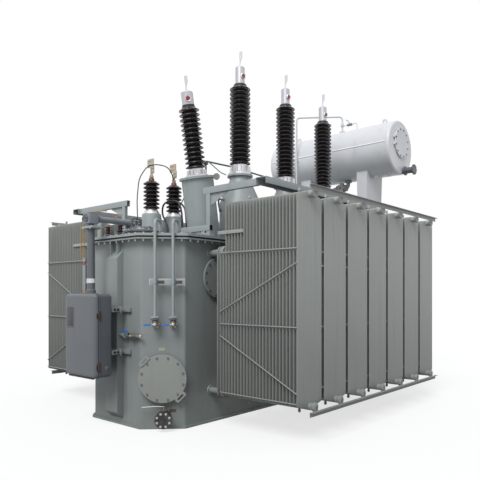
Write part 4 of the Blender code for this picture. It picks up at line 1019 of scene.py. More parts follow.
def makeBushings():
    v = bushingValues
    bolts = []
    barrel, foot, neck, head = v["barrel"], v["barrelFoot"], v["barrelNeck"], v["barrelTop"]
    for i in range(1, 4):
        low, high, middle = boxOf(f"hv_turret_{i}")
        # Turret: wide foot flange, straight barrel, cone and top flange
        t = high.z - low.z
        profile = [(0, t), (head, t), (head, t - 0.028), (neck, t - 0.03), (neck, t - 0.08),
                   (barrel, t - 0.44), (barrel, 0.03), (foot, 0.028), (foot, 0), (0, 0)]
        place = level(middle.x, middle.y, low.z)
        work = bmesh.new()
        addLathe(work, profile, place, 48)
        makePiece(f"hvTurret{i}", work, [paleGrey], replaced=(f"hv_turret_{i}",))
        bolts += ringSpots(place, foot - 0.018, v["barrelBolts"], 0.029)
        top = level(middle.x, middle.y, high.z + 0.0003)
        bolts += tallBushing(f"hvBushing{i}", f"hv_bushing_{i}", top, v["hv"])
    # Neutral bushing on its leaning turret
    foot = level(*v["leanPlace"], boxOf("neutral_turret")[0].z)
    place = foot @ Matrix.Rotation(radians(v["leanTurn"]), 4, "X")
    length, radius, head = v["leanLength"], v["leanRadius"], v["leanTop"]
    profile = [(0, length), (head, length), (head, length - 0.03), (radius, length - 0.032), (radius, 0),
               (0, 0)]
    work = bmesh.new()
    addLathe(work, profile, place, 48)
    addCylinder(work, v["leanFoot"], 0, 0.05, foot, 48)
    makePiece("neutralTurret", work, [paleGrey], replaced=("neutral_turret",))
    top = place @ level(0, 0, length + 0.0003)
    bolts += tallBushing("neutralBushing", "neutral_bushing", top, v["neutral"])
    bolts += ringSpots(place, head - 0.015, v["leanBolts"], length - 0.03)
    boltPiece("bushingBolts", [boltMesh(bolts, 0.013, 0.012, 0.018)])


lvValues = {
    "sheds": 7, "shed": 0.128, "core": 0.078, "turret": 0.45, "foot": 0.08, "porcelain": 0.43, "radius": 0.16,
    # Each terminal plate: left, right, bottom and top, then its place in Y
    "plates": ((-0.105, 0.04, 0.225, 0.375, 0.009), (-0.015, 0.07, 0.12, 0.24, -0.007)),
    # Each plate's bolts: place in Y, places in X and heights
    "plateBolts": ((-0.013, (0.008, 0.046), (0.15, 0.205)), (0.003, (-0.078, -0.035), (0.275, 0.335))),
}


def makeLowVoltage():
    v = lvValues
    bolts = []
    t, r, core = v["turret"], v["radius"], v["core"]
    base = t + v["foot"]
    top = base + v["porcelain"]
    foot = r + 0.04
    turret = [(0, t), (r * 0.9, t), (r * 0.93, t - 0.022), (r * 0.95, t - 0.05), (r + 0.035, 0.05),
              (foot, 0.03), (foot, 0), (0, 0)]
    flange = [(0, base), (core * 1.1, base), (r * 0.80, t + 0.010), (r * 0.84, t), (0, t)]
    neck = [(0, top + 0.055), (0.034, top + 0.055), (0.044, top + 0.04), (0.048, top - 0.01), (0, top - 0.01)]
    finishes = [brownGlaze, castSilver, paleGrey, beigeTerminal, redBrown]
    for i in range(1, 4):
        low, high, middle = boxOf(f"lv_bushing_{i}")
        place = level(middle.x, middle.y, low.z)
        work = bmesh.new()
        addLathe(work, turret, place, 36, mat=2)
        addLathe(work, flange, place, 36, mat=1)
        # Red-brown neck, stem and nut, then the two terminal plates
        addLathe(work, neck, place, 28, mat=4)
        addCylinder(work, 0.019, top + 0.04, top + 0.16, place, 20, mat=3)
        addCylinder(work, 0.034, top + 0.065, top + 0.095, place, 6, mat=3)
        limit = high.z - low.z - top
        for left, right, bottom, upper, y in v["plates"]:
            plate = roundedBox(left, right, top + bottom, top + min(upper, limit), 0.012, 3)
            addPrism(work, plate, -0.006, 0.006, place @ seenAlongY(y), 0.002, mat=3)
        for y, across, heights in v["plateBolts"]:
            bolts += [(place @ Vector((x, y, top + z)), (0, -1, 0)) for x in across for z in heights]
        sheds = stackedSheds(core, v["shed"], v["sheds"], v["porcelain"], base)
        sheds.transform(place)
        work.from_mesh(sheds)
        makePiece(f"lvBushing{i}", work, finishes, replaced=(f"lv_bushing_{i}",))
        bolts += ringSpots(place, r + 0.022, 10, 0.021)
        bolts += ringSpots(place, r * 0.62, 6, t + 0.028)
    boltPiece("lvBolts", [boltMesh(bolts, 0.010, 0.010, 0.014)])


makeBushings()
makeLowVoltage()
print("bushings ready")


# Conservator

conservatorValues = {
    "radius": 0.525, "edge": 0.04, "sides": 72, "axisY": 2.584, "axisZ": 4.6103, "left": -1.25, "right": 1.57,
    "lip": 0.075, "lipDepth": 0.004, "seamTurn": 4.0, "seamSink": 0.007, "seamRadius": 0.013, "seamEnd": 0.08,
    # The underside colour and the height it fades out at are painted bounce light from the floor
    "underside": (0.74, 0.75, 0.77), "undersideTop": 0.45,
    "coverRadius": 0.29, "coverRise": 0.085, "coverBolts": 12, "hingeHalf": 0.07,
    "stubDrop": 0.44, "stubSide": 0.12, "stubReach": 0.23, "stubRadius": 0.06, "stubBolts": 8,
    "eyes": (-0.82, 1.24), "bracketX": (1.12, 1.40),
    "legFoot": 0.065, "legHead": 0.12, "legSpread": 0.32, "legKink": 4.2016, "legSteps": 12,
    "footHalf": 0.085,
}


def makeConservator():
    v = conservatorValues
    radius, axisY, axisZ, edge = v["radius"], v["axisY"], v["axisZ"], v["edge"]
    left, right = v["left"], v["right"]
    length = right - left
    top, bottom = axisZ + radius, axisZ - radius
    # Half of the drum's outline: flat head, rounded edge and the lip of the head's flange
    profile = [(0, length)]
    for i in range(6):
        a = radians(18 * i)
        profile.append((radius - edge + edge * sin(a), length - edge + edge * cos(a)))
    lip, depth = v["lip"], v["lipDepth"]
    profile += [(radius, length - lip), (radius - depth, length - lip - depth)]
    profile += [(r, length - h) for r, h in reversed(profile)]
    work = bmesh.new()
    addLathe(work, profile, aimed((left, axisY, axisZ), (1, 0, 0)), v["sides"])
    # Lengthwise weld on the near side, in a brighter white that is a painted highlight
    a = radians(v["seamTurn"])
    out = radius - v["seamSink"]
    y, z = axisY - out * cos(a), axisZ + out * sin(a)
    addTube(work, [(left + v["seamEnd"], y, z), (right - v["seamEnd"], y, z)], v["seamRadius"], 12, mat=2)
    end = aimed((right, axisY, axisZ + v["coverRise"]), (1, 0, 0))
    cover = v["coverRadius"]
    profile = [(0, 0.03), (cover - 0.003, 0.03), (cover, 0.027), (cover, 0.014), (cover - 0.012, 0.013),
               (cover - 0.012, 0), (0, 0)]
    addLathe(work, profile, end, 56)
    # Hinge of the end cover
    x, y = right + 0.022, axisY - cover + 0.004
    for off in (-v["hingeHalf"], v["hingeHalf"]):
        z = axisZ + v["coverRise"] + off
        addBlock(work, (x - 0.02, y - 0.05, z - 0.018), (x + 0.008, y + 0.03, z + 0.018), bevel=0.003)
    stub = aimed((right, axisY + v["stubSide"], axisZ - v["stubDrop"]), (1, 0, 0))
    reach, neck = v["stubReach"], v["stubRadius"]
    profile = [(0, reach), (neck + 0.04, reach), (neck + 0.04, reach - 0.02), (neck, reach - 0.022),
               (neck, 0.055), (neck + 0.03, 0.053), (neck + 0.03, 0.033), (neck, 0.031), (neck, -0.03),
               (0, -0.03)]
    addLathe(work, profile, stub, 36, mat=1)
    # Lifting eyes: a ring on a small base plate
    for x in v["eyes"]:
        addCollar(work, 0.05, 0.024, -0.008, 0.008, aimed((x, axisY, top + 0.052), (0, -1, 0)), 24)
        low, high = (x - 0.042, axisY - 0.007, top - 0.02), (x + 0.042, axisY + 0.007, top + 0.024)
        addBlock(work, low, high, bevel=0.002)
    # Small brackets under the right end
    for x in v["bracketX"]:
        low, high = (x - 0.03, axisY - 0.16, bottom - 0.035), (x + 0.03, axisY - 0.10, bottom + 0.03)
        addBlock(work, low, high, bevel=0.003)
    # Painted bounce light: the drum's white gets lighter towards its underside
    paintBounceLightBelow(drumWhite, v["underside"], bottom, axisZ + radius * v["undersideTop"])
    finishes = [drumWhite, driveGrey, seamHighlight]
    makePiece("conservatorDrum", work, finishes, replaced=("conservator",))
    coverSpots = ringSpots(end, cover - 0.026, v["coverBolts"], 0.03, 15)
    stubSpots = ringSpots(stub, neck + 0.022, v["stubBolts"], reach)
    bolts = [boltMesh(coverSpots, 0.011, 0.010, 0.016, darkZinc),
             boltMesh(stubSpots, 0.010, 0.010, 0.013, darkZinc)]
    boltPiece("conservatorBolts", bolts)
    for side in ("right", "left"):
        makeSaddle(side)


def makeSaddle(side):
    # Folded, tapered leg whose top follows the drum
    v = conservatorValues
    node = f"conservator_leg_{side}"
    low, _, middle = boxOf(node)
    x, base = middle.x, low.z
    radius, axisY, spread = v["radius"] + 0.0003, v["axisY"], v["legSpread"]
    shin = base + 0.02
    work = bmesh.new()
    rows = []
    steps = v["legSteps"]
    for i in range(steps + 1):
        off = spread * (2 * i / steps - 1)
        row = []
        for z in (base, shin, v["axisZ"] - sqrt(radius ** 2 - off ** 2)):
            share = max(0.0, (z - shin) / (v["legKink"] - shin))
            half = v["legFoot"] + (v["legHead"] - v["legFoot"]) * share
            row.append([work.verts.new((x + sign * half, axisY + off, z)) for sign in (-1, 1)])
        rows.append([row[0][0], row[1][0], row[2][0], row[2][1], row[1][1], row[0][1]])
    for a, b in zip(rows, rows[1:]):
        for k in range(6):
            n = (k + 1) % 6
            work.faces.new((a[k], a[n], b[n], b[k]))
    work.faces.new(rows[0])
    work.faces.new(list(reversed(rows[-1])))
    # Foot plate
    half = v["footHalf"]
    addBlock(work, (x - half, axisY - spread, base), (x + half, axisY + spread, base + 0.014), bevel=0.002)
    makePiece(f"conservatorLeg{side.capitalize()}", work, [offWhite], replaced=(node,))


makeConservator()
print("conservator ready")


# Tap-changer head, shaft, motor-drive cabinet and door

driveValues = {
    "headX": 0.05, "headY": -2.55, "headRadius": 0.27, "headRibs": 8, "headBolts": 20,
    "boxLow": (-0.16, -2.68, 0.14), "boxHigh": (-0.02, -2.50, 0.28), "boxCap": (-0.09, -2.59, 0.275),
    "boxSide": (-2.61, 0.21),
    "shaftX": -0.09, "shaftY": -3.30, "gearZ": 2.76, "shaftRadius": 0.042, "shaftEnd": -2.67,
    "clampZ": 1.93, "plateBoltX": (-0.07, 0.08), "plateBoltY": (-0.065, 0.065),
}


def makeDriveHead():
    # Tap-changer head, and the drive box on it that the level shaft comes from
    v = driveValues
    base = boxOf("oltc_head")[0].z
    r = v["headRadius"]
    place = level(v["headX"], v["headY"], base)
    profile = [(0, 0.157), (r * 0.5, 0.154), (r * 0.66, 0.14), (r * 0.72, 0.10), (r * 0.93, 0.10),
               (r * 0.95, 0.095), (r * 0.95, 0.075), (r * 0.86, 0.072), (r * 0.86, 0.04), (r, 0.036),
               (r, 0), (0, 0)]
    work = bmesh.new()
    addLathe(work, profile, place, 48)
    for i in range(v["headRibs"]):
        rib = place @ Matrix.Rotation(2 * pi * i / v["headRibs"], 4, "Z")
        addBlock(work, (0.04, -0.008, 0.12), (r * 0.68, 0.008, 0.157), rib, 0.003)
    lift = Vector((0, 0, base))
    addBlock(work, Vector(v["boxLow"]) + lift, Vector(v["boxHigh"]) + lift, bevel=0.014)
    (capX, capY, capZ), (sideY, sideZ) = v["boxCap"], v["boxSide"]
    addDisc(work, 0.05, 0.02, level(capX, capY, base + capZ), 24)
    addDisc(work, 0.055, 0.02, aimed((-0.025, sideY, base + sideZ), (1, 0, 0)), 24)
    makePiece("tapChangerHead", work, [driveGrey], replaced=("oltc_head",))
    count = v["headBolts"]
    bolts = ringSpots(place, r * 0.89, count, 0.10) + ringSpots(place, r * 0.94, count, 0.036, 9)
    return bolts + ringSpots(aimed((-0.005, sideY, base + sideZ), (1, 0, 0)), 0.040, 6)


def makeDriveShaft():
    # Level shaft in its casing, bevel gear over the cabinet with an end disc
    v = driveValues
    shaft = bmesh.new()
    x, y, z, end = v["shaftX"], v["shaftY"], v["gearZ"], v["shaftEnd"]
    addTube(shaft, [(x, end, z), (x, y + 0.05, z)], v["shaftRadius"], 20)
    for spot in (end - 0.03, y + 0.10):
        addDisc(shaft, 0.052, 0.028, aimed((x, spot + 0.028, z), (0, -1, 0)), 22)
    addBlock(shaft, (x - 0.075, y - 0.07, z - 0.075), (x + 0.075, y + 0.075, z + 0.066), bevel=0.016)
    addDisc(shaft, 0.05, 0.012, level(x, y, z + 0.062), 24, mat=1)
    left = aimed((x - 0.072, y - 0.01, z - 0.005), (-1, 0, 0))
    boss = [(0, 0.045), (0.05, 0.045), (0.056, 0.04), (0.056, 0.012), (0.046, 0.010), (0.046, 0), (0, 0)]
    addLathe(shaft, boss, left, 28)
    addCollar(shaft, 0.060, 0.055, 0.022, 0.034, left, 28, mat=1)
    front = aimed((x, y - 0.066, z), (0, -1, 0))
    addDisc(shaft, 0.052, 0.012, front, 28)
    addCollar(shaft, 0.047, 0.039, 0.010, 0.016, front, 28, mat=1)
    addDisc(shaft, 0.020, 0.018, front, 20, mat=1)
    makePiece("driveShaft", shaft, [casingGrey, blackPaint], replaced=("drive_shaft",))


def makeDriveTube():
    # Upright tube from the gear to the cabinet, with a plate at its top and a clamp round it
    v = driveValues
    x, y, clamp = v["shaftX"], v["shaftY"], v["clampZ"]
    low, high, _ = boxOf("drive_tube")
    top, foot = high.z, low.z
    tube = bmesh.new()
    profile = [(0, top), (0.040, top), (0.040, top - 0.052), (0.058, top - 0.056), (0.058, top - 0.076),
               (0.05, top - 0.078), (0.05, foot + 0.06), (0.065, foot + 0.045), (0.065, foot), (0, foot)]
    addLathe(tube, profile, level(x, y, 0), 32)
    addBlock(tube, (x - 0.09, y - 0.085, top - 0.064), (x + 0.16, y + 0.085, top - 0.036), bevel=0.003, mat=1)
    addCollar(tube, 0.056, 0.049, -0.03, 0.03, level(x, y, clamp), 28, mat=2)
    lug = ((x + 0.052, y - 0.012, clamp - 0.025), (x + 0.088, y + 0.012, clamp + 0.025))
    addBlock(tube, *lug, bevel=0.003, mat=2)
    makePiece("driveTube", tube, [driveGrey, paleGrey, castSilver], replaced=("drive_tube",))
    return [((x + dx, y + dy, top - 0.064), (0, 0, -1)) for dx in v["plateBoltX"] for dy in v["plateBoltY"]]


def makeDrive():
    bolts = makeDriveHead()
    makeDriveShaft()
    bolts += makeDriveTube()
    boltPiece("driveBolts", [boltMesh(bolts, 0.010, 0.010, 0.014)])


cabinetValues = {
    "left": -0.445, "right": 0.25, "bottom": 0.68, "top": 1.76,
    "back": -3.199, "split": -3.407, "front": -3.471,
    "corner": 0.05, "round": 0.045, "gap": 0.005, "wall": 0.018, "ridge": 0.007,
    "hinges": (0.90, 1.54), "pinRadius": 0.007, "pinOut": 0.008, "latches": ((0.75, 0.89), (1.41, 1.54)),
    "window": (-0.394, -0.225, 1.315, 1.588), "knob": (-3.283, 0.797, 0.030), "glandX": (-0.32, -0.22),
    "motorX": (-0.20, 0.02), "motorZ": (1.38, 1.66), "gear": (-0.09, 1.17),
    "terminals": 5, "terminalX": -0.36, "terminalStep": 0.11, "terminalWidth": 0.09,
    "terminalZ": (0.80, 0.92),
    "ventTeeth": 22, "ventInset": 0.06, "ventHalf": 0.012,
}


def cabinetShape(inset=0.0):
    v = cabinetValues
    corner = max(v["corner"] - inset, 0.006)
    return roundedBox(v["left"] + inset, v["right"] - inset, v["bottom"] + inset, v["top"] - inset, corner)


def ringedShell(work, sections):
    # A closed skin through outlines at successive depths, from the inner back round to the front
    rings = [[work.verts.new((px, y, pz)) for px, pz in cabinetShape(inset)] for inset, y in sections]
    count = len(rings[0])
    for a, b in zip(rings, rings[1:]):
        for i in range(count):
            j = (i + 1) % count
            work.faces.new((a[i], a[j], b[j], b[i]))
    work.faces.new(rings[0])
    work.faces.new(list(reversed(rings[-1])))


def hingeShapes(work, pin, leafY, leafZ, edge, mat):
    # One half of both hinges: a pin and a leaf on the left side
    v = cabinetValues
    left = v["left"]
    for z in v["hinges"]:
        addCylinder(work, v["pinRadius"], *pin, level(left - v["pinOut"], v["split"] - 0.004, z), 14, mat)
        low, high = (left - 0.006, leafY[0], z + leafZ[0]), (left - edge, leafY[1], z + leafZ[1])
        addBlock(work, low, high, bevel=0.001, mat=mat)


def makeCabinet():
    v = cabinetValues
    left, right, bottom, top = v["left"], v["right"], v["bottom"], v["top"]
    wall, split, back, ridge = v["wall"], v["split"], v["back"], v["ridge"]
    body = bmesh.new()
    ringedShell(body, [
        (0.035, back), (0.014, back - 0.008), (0.004, back - 0.022), (0, back - 0.04), (0, split + 0.014),
        (-ridge, split + 0.014), (-ridge, split + 0.004), (0, split + 0.004), (0, split), (wall, split),
        (wall, back - wall),
    ])
    # Mounting plate, motor, gear and terminal blocks inside
    low, high = (left + 0.05, back - 0.04, bottom + 0.06), (right - 0.05, back - 0.02, top - 0.06)
    addBlock(body, low, high, bevel=0.003, mat=1)
    (motorLeft, motorRight), (motorLow, motorHigh) = v["motorX"], v["motorZ"]
    addBlock(body, (motorLeft, back - 0.15, motorLow), (motorRight, back - 0.035, motorHigh), bevel=0.012)
    gearX, gearZ = v["gear"]
    gear = level(gearX, back - 0.10, gearZ)
    addLathe(body, [(0, 0.2), (0.06, 0.19), (0.065, 0.0), (0, 0)], gear, 28, mat=2)
    low, high = v["terminalZ"]
    for k in range(v["terminals"]):
        x = v["terminalX"] + v["terminalStep"] * k
        end = x + v["terminalWidth"]
        addBlock(body, (x, back - 0.10, low), (end, back - 0.035, high), bevel=0.004, mat=2)
    # Cable glands under the floor
    gland = [(0, 0.01), (0.028, 0.01), (0.028, -0.02), (0.02, -0.035), (0, -0.035)]
    for x in v["glandX"]:
        addLathe(body, gland, level(x, back - 0.11, bottom - 0.005), 20, mat=2)
    # Fixed halves of the hinges
    hingeShapes(body, (0, 0.03), (split - 0.002, split + 0.05), (0.002, 0.028), 0.0005, 3)
    # Latches, and the round knob on the right side
    for low, high in v["latches"]:
        addBlock(body, (right - 0.002, split + 0.002, low), (right + 0.014, split + 0.027, high),
                 bevel=0.004, mat=4)
        addBlock(body, (right + 0.008, split - 0.020, low + 0.03), (right + 0.014, split + 0.01, high - 0.03),
                 bevel=0.003, mat=4)
    y, z, radius = v["knob"]
    knob = [(0, 0.012), (radius * 0.6, 0.011), (radius, 0.007), (radius, 0.004), (radius * 1.15, 0.003),
            (radius * 1.15, 0), (0, 0)]
    addLathe(body, knob, aimed((right - 0.001, y, z), (1, 0, 0)), 24)
    finishes = [driveGrey, barePlate, blackPaint, zincBolt, darkBronze]
    makePiece("driveCabinet", body, finishes, replaced=("drive_cabinet",))


def makeDoor():
    # Tray with well rounded edges
    v = cabinetValues
    left, right, bottom = v["left"], v["right"], v["bottom"]
    wall, split, front, bend = v["wall"], v["split"], v["front"], v["round"]
    rim = split - v["gap"]
    door = bmesh.new()
    sections = [(wall, front + 0.015), (wall, rim), (0, rim), (0, rim - 0.004), (-0.004, rim - 0.004),
                (-0.004, rim - 0.013), (0, rim - 0.013)]
    for i in range(7):
        a = radians(15 * i)
        sections.append((bend * (1 - cos(a)), front + bend * (1 - sin(a))))
    ringedShell(door, sections)
    # Window: glass painted dark as the shade inside the cabinet, in a light seal
    x1, x2, low, high = v["window"]
    place = seenAlongY(front)
    seal = roundedBox(x1, x2, low, high, 0.014)
    glass = roundedBox(x1 + 0.004, x2 - 0.012, low + 0.014, high - 0.004, 0.010)
    addPrism(door, seal, 0.0, 0.004, place, 0.001, mat=3)
    addPrism(door, glass, 0.002, 0.0055, place, 0.001, mat=2)
    hingeShapes(door, (0.0303, 0.06), (front + 0.048, split - 0.004), (0.0325, 0.058), 0.0003, 4)
    # Keepers for the latches
    for low, high in v["latches"]:
        addBlock(door, (right - 0.002, rim - 0.028, low + 0.035), (right + 0.008, rim - 0.016, high - 0.035),
                 bevel=0.002, mat=1)
    # Toothed black edge of the vent under the door
    inset, half, count = v["ventInset"], v["ventHalf"], v["ventTeeth"]
    span = (right - left - 2 * inset) / count
    y = front + 0.034
    addBlock(door, (left + inset, y - half, bottom - 0.008), (right - inset, y + half, bottom + 0.002),
             bevel=0.001, mat=1)
    for k in range(count):
        x = left + inset + span * k
        tooth = [(x + span * 0.15, bottom - 0.007), (x + span * 0.5, bottom - 0.018),
                 (x + span * 0.85, bottom - 0.007)]
        addPrism(door, tooth, -half, half, seenAlongY(y), 0.0, mat=1)
    finishes = [driveGrey, blackPaint, windowGlassPaintedShade, windowSeal, zincBolt]
    makePiece("cabinetDoor", door, finishes, "cabinet_door", replaced=("cabinet_door",))


makeDrive()
makeCabinet()
makeDoor()
print("drive ready")


# Round covers, pipes, valves and levers at the near end

coverValues = {
    "manhole": 0.3125, "manholeOut": 0.0703, "plate": 0.025, "edge": 0.004, "bolts": 12,
    "lugTurns": (135, -45), "lugRadius": 0.33, "lugHalf": (0.08, 0.032), "slotHalf": (0.05, 0.013),
    "lugLevels": (0.0253, 0.0373),
}


def roundCover(work, radius, place, sides, boltInset):
    # A plate with an eased edge; gives back its bolts
    t, edge = coverValues["plate"], coverValues["edge"]
    profile = [(0, t), (radius - edge, t), (radius, t - edge), (radius, 0), (0, 0)]
    addLathe(work, profile, place, sides)
    spots = ringSpots(place, radius - boltInset, coverValues["bolts"], t, 15)
    return boltMesh(spots, 0.012, 0.012, 0.016, darkZinc)


def makeCovers():
    v = coverValues
    place = aimed(chamferSpot(0, tankValues["manholeZ"], v["manholeOut"]), chamferOut)
    work = bmesh.new()
    groups = [roundCover(work, v["manhole"], place, 64, 0.036)]
    # Slotted lugs past the rim at the upper left and the lower right
    wide, tall = v["lugHalf"]
    slotWide, slotTall = v["slotHalf"]
    outer = roundedBox(-wide, wide, -tall, tall, tall * 0.6)
    inner = roundedBox(-slotWide, slotWide, -slotTall, slotTall, slotTall * 0.9)
    for angle in v["lugTurns"]:
        turn = place @ Matrix.Rotation(radians(angle - 90), 4, "Z") @ level(0, v["lugRadius"], 0)
        addSlotted(work, outer, inner, *v["lugLevels"], turn)
    makePiece("manholeCover", work, [radiatorGrey],
              replaced=("manhole_cover", "manhole_lug_upper", "manhole_lug_lower"))
    low, high, middle = boxOf("handhole_cover")
    hand = bmesh.new()
    place = aimed((low.x, middle.y, middle.z), (1, 0, 0))
    groups.append(roundCover(hand, (high.z - low.z) / 2, place, 56, 0.030))
    makePiece("handholeCover", hand, [greenGrey], replaced=("handhole_cover",))
    boltPiece("coverBolts", groups)


pipeValues = {
    "offsets": (-0.09, 0.14), "radius": 0.0200, "bend": 0.075, "reach": 0.14, "top": 2.715, "hook": 0.06,
    "inset": 0.08, "valveZ": 1.37, "flangeZ": (1.425, 1.450), "flangeRadius": 0.055, "flange": 0.014,
    "footValve": 0.085, "grip": 0.006,
    "strip": (-0.16, 0.285), "stripZ": (1.872, 1.947), "stripOut": 0.112, "standOffs": (-0.02, 0.21),
    "plateSize": (0.085, 0.04), "plateShift": 0.075,
    # Plates on the chamfer: along it, height, half width, half height and finish
    "wallPlates": ((-0.015, 1.031, 0.039, 0.021, 0), (0.130, 0.232, 0.044, 0.020, 1)),
}


def chamferPipe(side, along, base):
    # Sampling pipe up the chamfer with its valve; gives back the bolt spots of its flanges
    v = pipeValues
    reach, z, inset, radius = v["reach"], v["valveZ"], v["inset"], v["radius"]
    shifted = along + v["hook"]
    foot = chamferSpot(shifted, base, -inset)
    path = [chamferSpot(along, z, reach), chamferSpot(along, v["top"], reach),
            chamferSpot(shifted, v["top"], -inset), foot]
    work = bmesh.new()
    addTube(work, path, radius, 18, bend=v["bend"])
    # Pair of level flanges, the valve body under them and its flange at the wall
    for height, mat in zip(v["flangeZ"], (2, 1)):
        addDisc(work, v["flangeRadius"], v["flange"], level(*chamferSpot(along, height, reach)), 28, mat=mat)
    bolts = ringSpots(level(*chamferSpot(along, v["flangeZ"][1] + v["flange"], reach)), 0.040, 6)
    stem = [(0, 0.06), (0.024, 0.06), (0.036, 0.045), (0.036, 0.0), (0, 0.0)]
    addLathe(work, stem, level(*chamferSpot(along, z, reach)), 24, mat=3)
    valve = aimed(chamferSpot(along, z), chamferOut)
    profile = [(0, 0.17), (0.026, 0.17), (0.040, 0.158), (0.040, 0.112), (0.028, 0.10), (0.028, 0.05),
               (0.052, 0.048), (0.052, 0.028), (0.048, 0.027), (0.048, 0.025), (0.052, 0.024),
               (0.052, 0.0003), (0, 0.0003)]
    addLathe(work, profile, valve, 28, mat=3)
    bolts += ringSpots(valve, 0.041, 6, 0.048)
    # Small valve on the cover where the pipe comes down
    addDisc(work, 0.05, 0.018, level(*foot), 24, mat=1)
    outlet = [foot + Vector((0, 0, 0.10)), chamferSpot(along + v["footValve"], base + 0.10, -inset)]
    addTube(work, outlet, 0.028, 18, mat=1)
    bonnet = [(0, 0.165), (0.03, 0.165), (0.034, 0.15), (0.034, 0.05), (0.028, 0.03), (0, 0.03)]
    addLathe(work, bonnet, level(*foot), 22, mat=1)
    # Clamp on the strip
    grip = radius + v["grip"]
    clamp = level(*chamferSpot(along, sum(v["stripZ"]) / 2, reach))
    addCollar(work, grip, grip - 0.007, -0.022, 0.022, clamp, 20, mat=1)
    finishes = [paleGrey, paleGrey, driveGrey, bronzeBody]
    makePiece(f"samplingPipe{side.capitalize()}", work, finishes,
              replaced=(f"sampling_pipe_{side}",))
    return bolts


def makeChamferPipes():
    v = pipeValues
    base = boxOf("tank_cover")[1].z
    bolts = []
    for side, along in zip(("left", "right"), v["offsets"]):
        bolts += chamferPipe(side, along, base)
    # Level strip that both pipes are clamped to, on stand-offs
    strip = bmesh.new()
    (left, right), (low, high), out = v["strip"], v["stripZ"], v["stripOut"]
    place = aimed(chamferSpot(0, 0, out), chamferOut)
    addBlock(strip, (left, low, -0.003), (right, high, 0.003), place, 0.001)
    for along in v["standOffs"]:
        for z in (low + 0.02, high - 0.02):
            addTube(strip, [chamferSpot(along, z, -0.002), chamferSpot(along, z, out)], 0.009, 10)
    backLow, backHigh = (left - 0.007, low - 0.006, -0.006), (right + 0.007, high + 0.006, -0.0032)
    addBlock(strip, backLow, backHigh, place, 0.0008, mat=1)
    makePiece("pipeStrip", strip, [paleGrey, offWhite])
    # Small plates: two dark ones on the strip, a dull one over the manhole and a dark one under it
    plates = bmesh.new()
    wide, tall = (size / 2 for size in v["plateSize"])
    middle, shift = (low + high) / 2, v["plateShift"]
    spots = [(along + shift, middle, out + 0.004, wide, tall, 1) for along in v["offsets"]]
    for along, height, wide, tall, mat in v["wallPlates"]:
        spots.append((along, height, 0.0015, wide, tall, mat))
    for along, height, away, wide, tall, mat in spots:
        put = aimed(chamferSpot(along, height, away), chamferOut)
        addBlock(plates, (-wide, -tall, -0.001), (wide, tall, 0.001), put, 0.0006, mat=mat)
    makePiece("barePlates", plates, [dullPlate, darkBronze])
    boltPiece("pipeBolts", [boltMesh(bolts, 0.009, 0.009, 0.012)])


valveValues = {
    "endStart": 0.25, "endNeck": 0.140, "endY": -3.0, "endZ": 1.21, "endHub": 0.17, "endBody": 0.035,
    "endAim": (-0.6, 0, 0.8), "leverLong": 0.16, "gripTurn": 50,
    "leverShort": 0.14, "leverOut": 0.0303, "leverSide": 0.9, "leverDrop": 0.06,
    "drainAlong": 0.02, "drainZ": 0.155, "drainReach": 0.22, "drainRadius": 0.1115,
    "drainLever": ((0, 0.15), (0.08, 0.155), (0.20, 0.145)),
}


def makeLever(name, node, hub, direction, out, length, gripTurn=0):
    # A hub, a thin arm and a blue grip, which may turn off from the arm
    axis = Vector(out).normalized()
    along = Vector(direction).normalized()
    turn = Matrix((along, axis.cross(along), axis)).transposed().to_4x4()
    place = Matrix.Translation(hub) @ turn
    start = length * 0.28
    work = bmesh.new()
    hubProfile = [(0, 0.03), (0.012, 0.03), (0.012, 0.024), (0.018, 0.022), (0.018, 0), (0, 0)]
    addLathe(work, hubProfile, place, 18, mat=1)
    addBlock(work, (-0.012, -0.009, 0.018), (length * 0.35, 0.009, 0.022), place, 0.001, mat=1)
    grip = [(start, -0.0105), (length - 0.01, -0.0118), (length, -0.006), (length, 0.006),
            (length - 0.01, 0.0118), (start, 0.0105)]
    if gripTurn:
        knee = length * 0.42
        addBlock(work, (0, -0.009, 0.018), (knee, 0.009, 0.022), place, 0.001, mat=1)
        place = place @ level(knee, 0, 0) @ Matrix.Rotation(radians(gripTurn), 4, "Z") @ level(-start, 0, 0)
    addPrism(work, grip, 0.0165, 0.0275, place, 0.003)
    makePiece(name, work, [blueGrip, zincBolt], node, replaced=(node,))


def makeEndValve():
    # Sampling valve on the stiffener's right side: flange, neck, bronze ball body and outlet
    v = valveValues
    x, y, z, body = v["endStart"], v["endY"], v["endZ"], v["endBody"]
    place = aimed((x, y, z), (1, 0, 0))
    work = bmesh.new()
    flange = [(0, 0.10), (0.02, 0.10), (0.02, 0.03), (0.048, 0.028), (0.048, 0.0003), (0, 0.0003)]
    addLathe(work, flange, place, 24)
    # Neck from the stiffener to the flange
    addTube(work, [(v["endNeck"], y, z), (x + 0.002, y, z)], 0.022, 18)
    ball = [(0, 0.25), (body * 0.7, 0.25), (body * 0.8, 0.225), (body, 0.20), (body, 0.14),
            (body * 0.8, 0.115), (body * 0.7, 0.09), (0, 0.09)]
    addLathe(work, ball, place, 24, mat=1)
    outlet = [(0, 0.34), (0.016, 0.34), (0.022, 0.334), (0.022, 0.29), (0.018, 0.286), (0.018, 0.24),
              (0, 0.24)]
    addLathe(work, outlet, place, 20, mat=2)
    finishes = [greenGrey, bronzeBody, castSilver]
    makePiece("endValve", work, finishes, replaced=("end_valve",))
    hub = (x + v["endHub"], y - body - 0.0003, z)
    makeLever("endValveLever", "end_valve_lever", hub, v["endAim"], (0, -1, 0), v["leverLong"], v["gripTurn"])
    return boltMesh(ringSpots(place, 0.036, 4, 0.028, 45), 0.008, 0.008, 0.010)


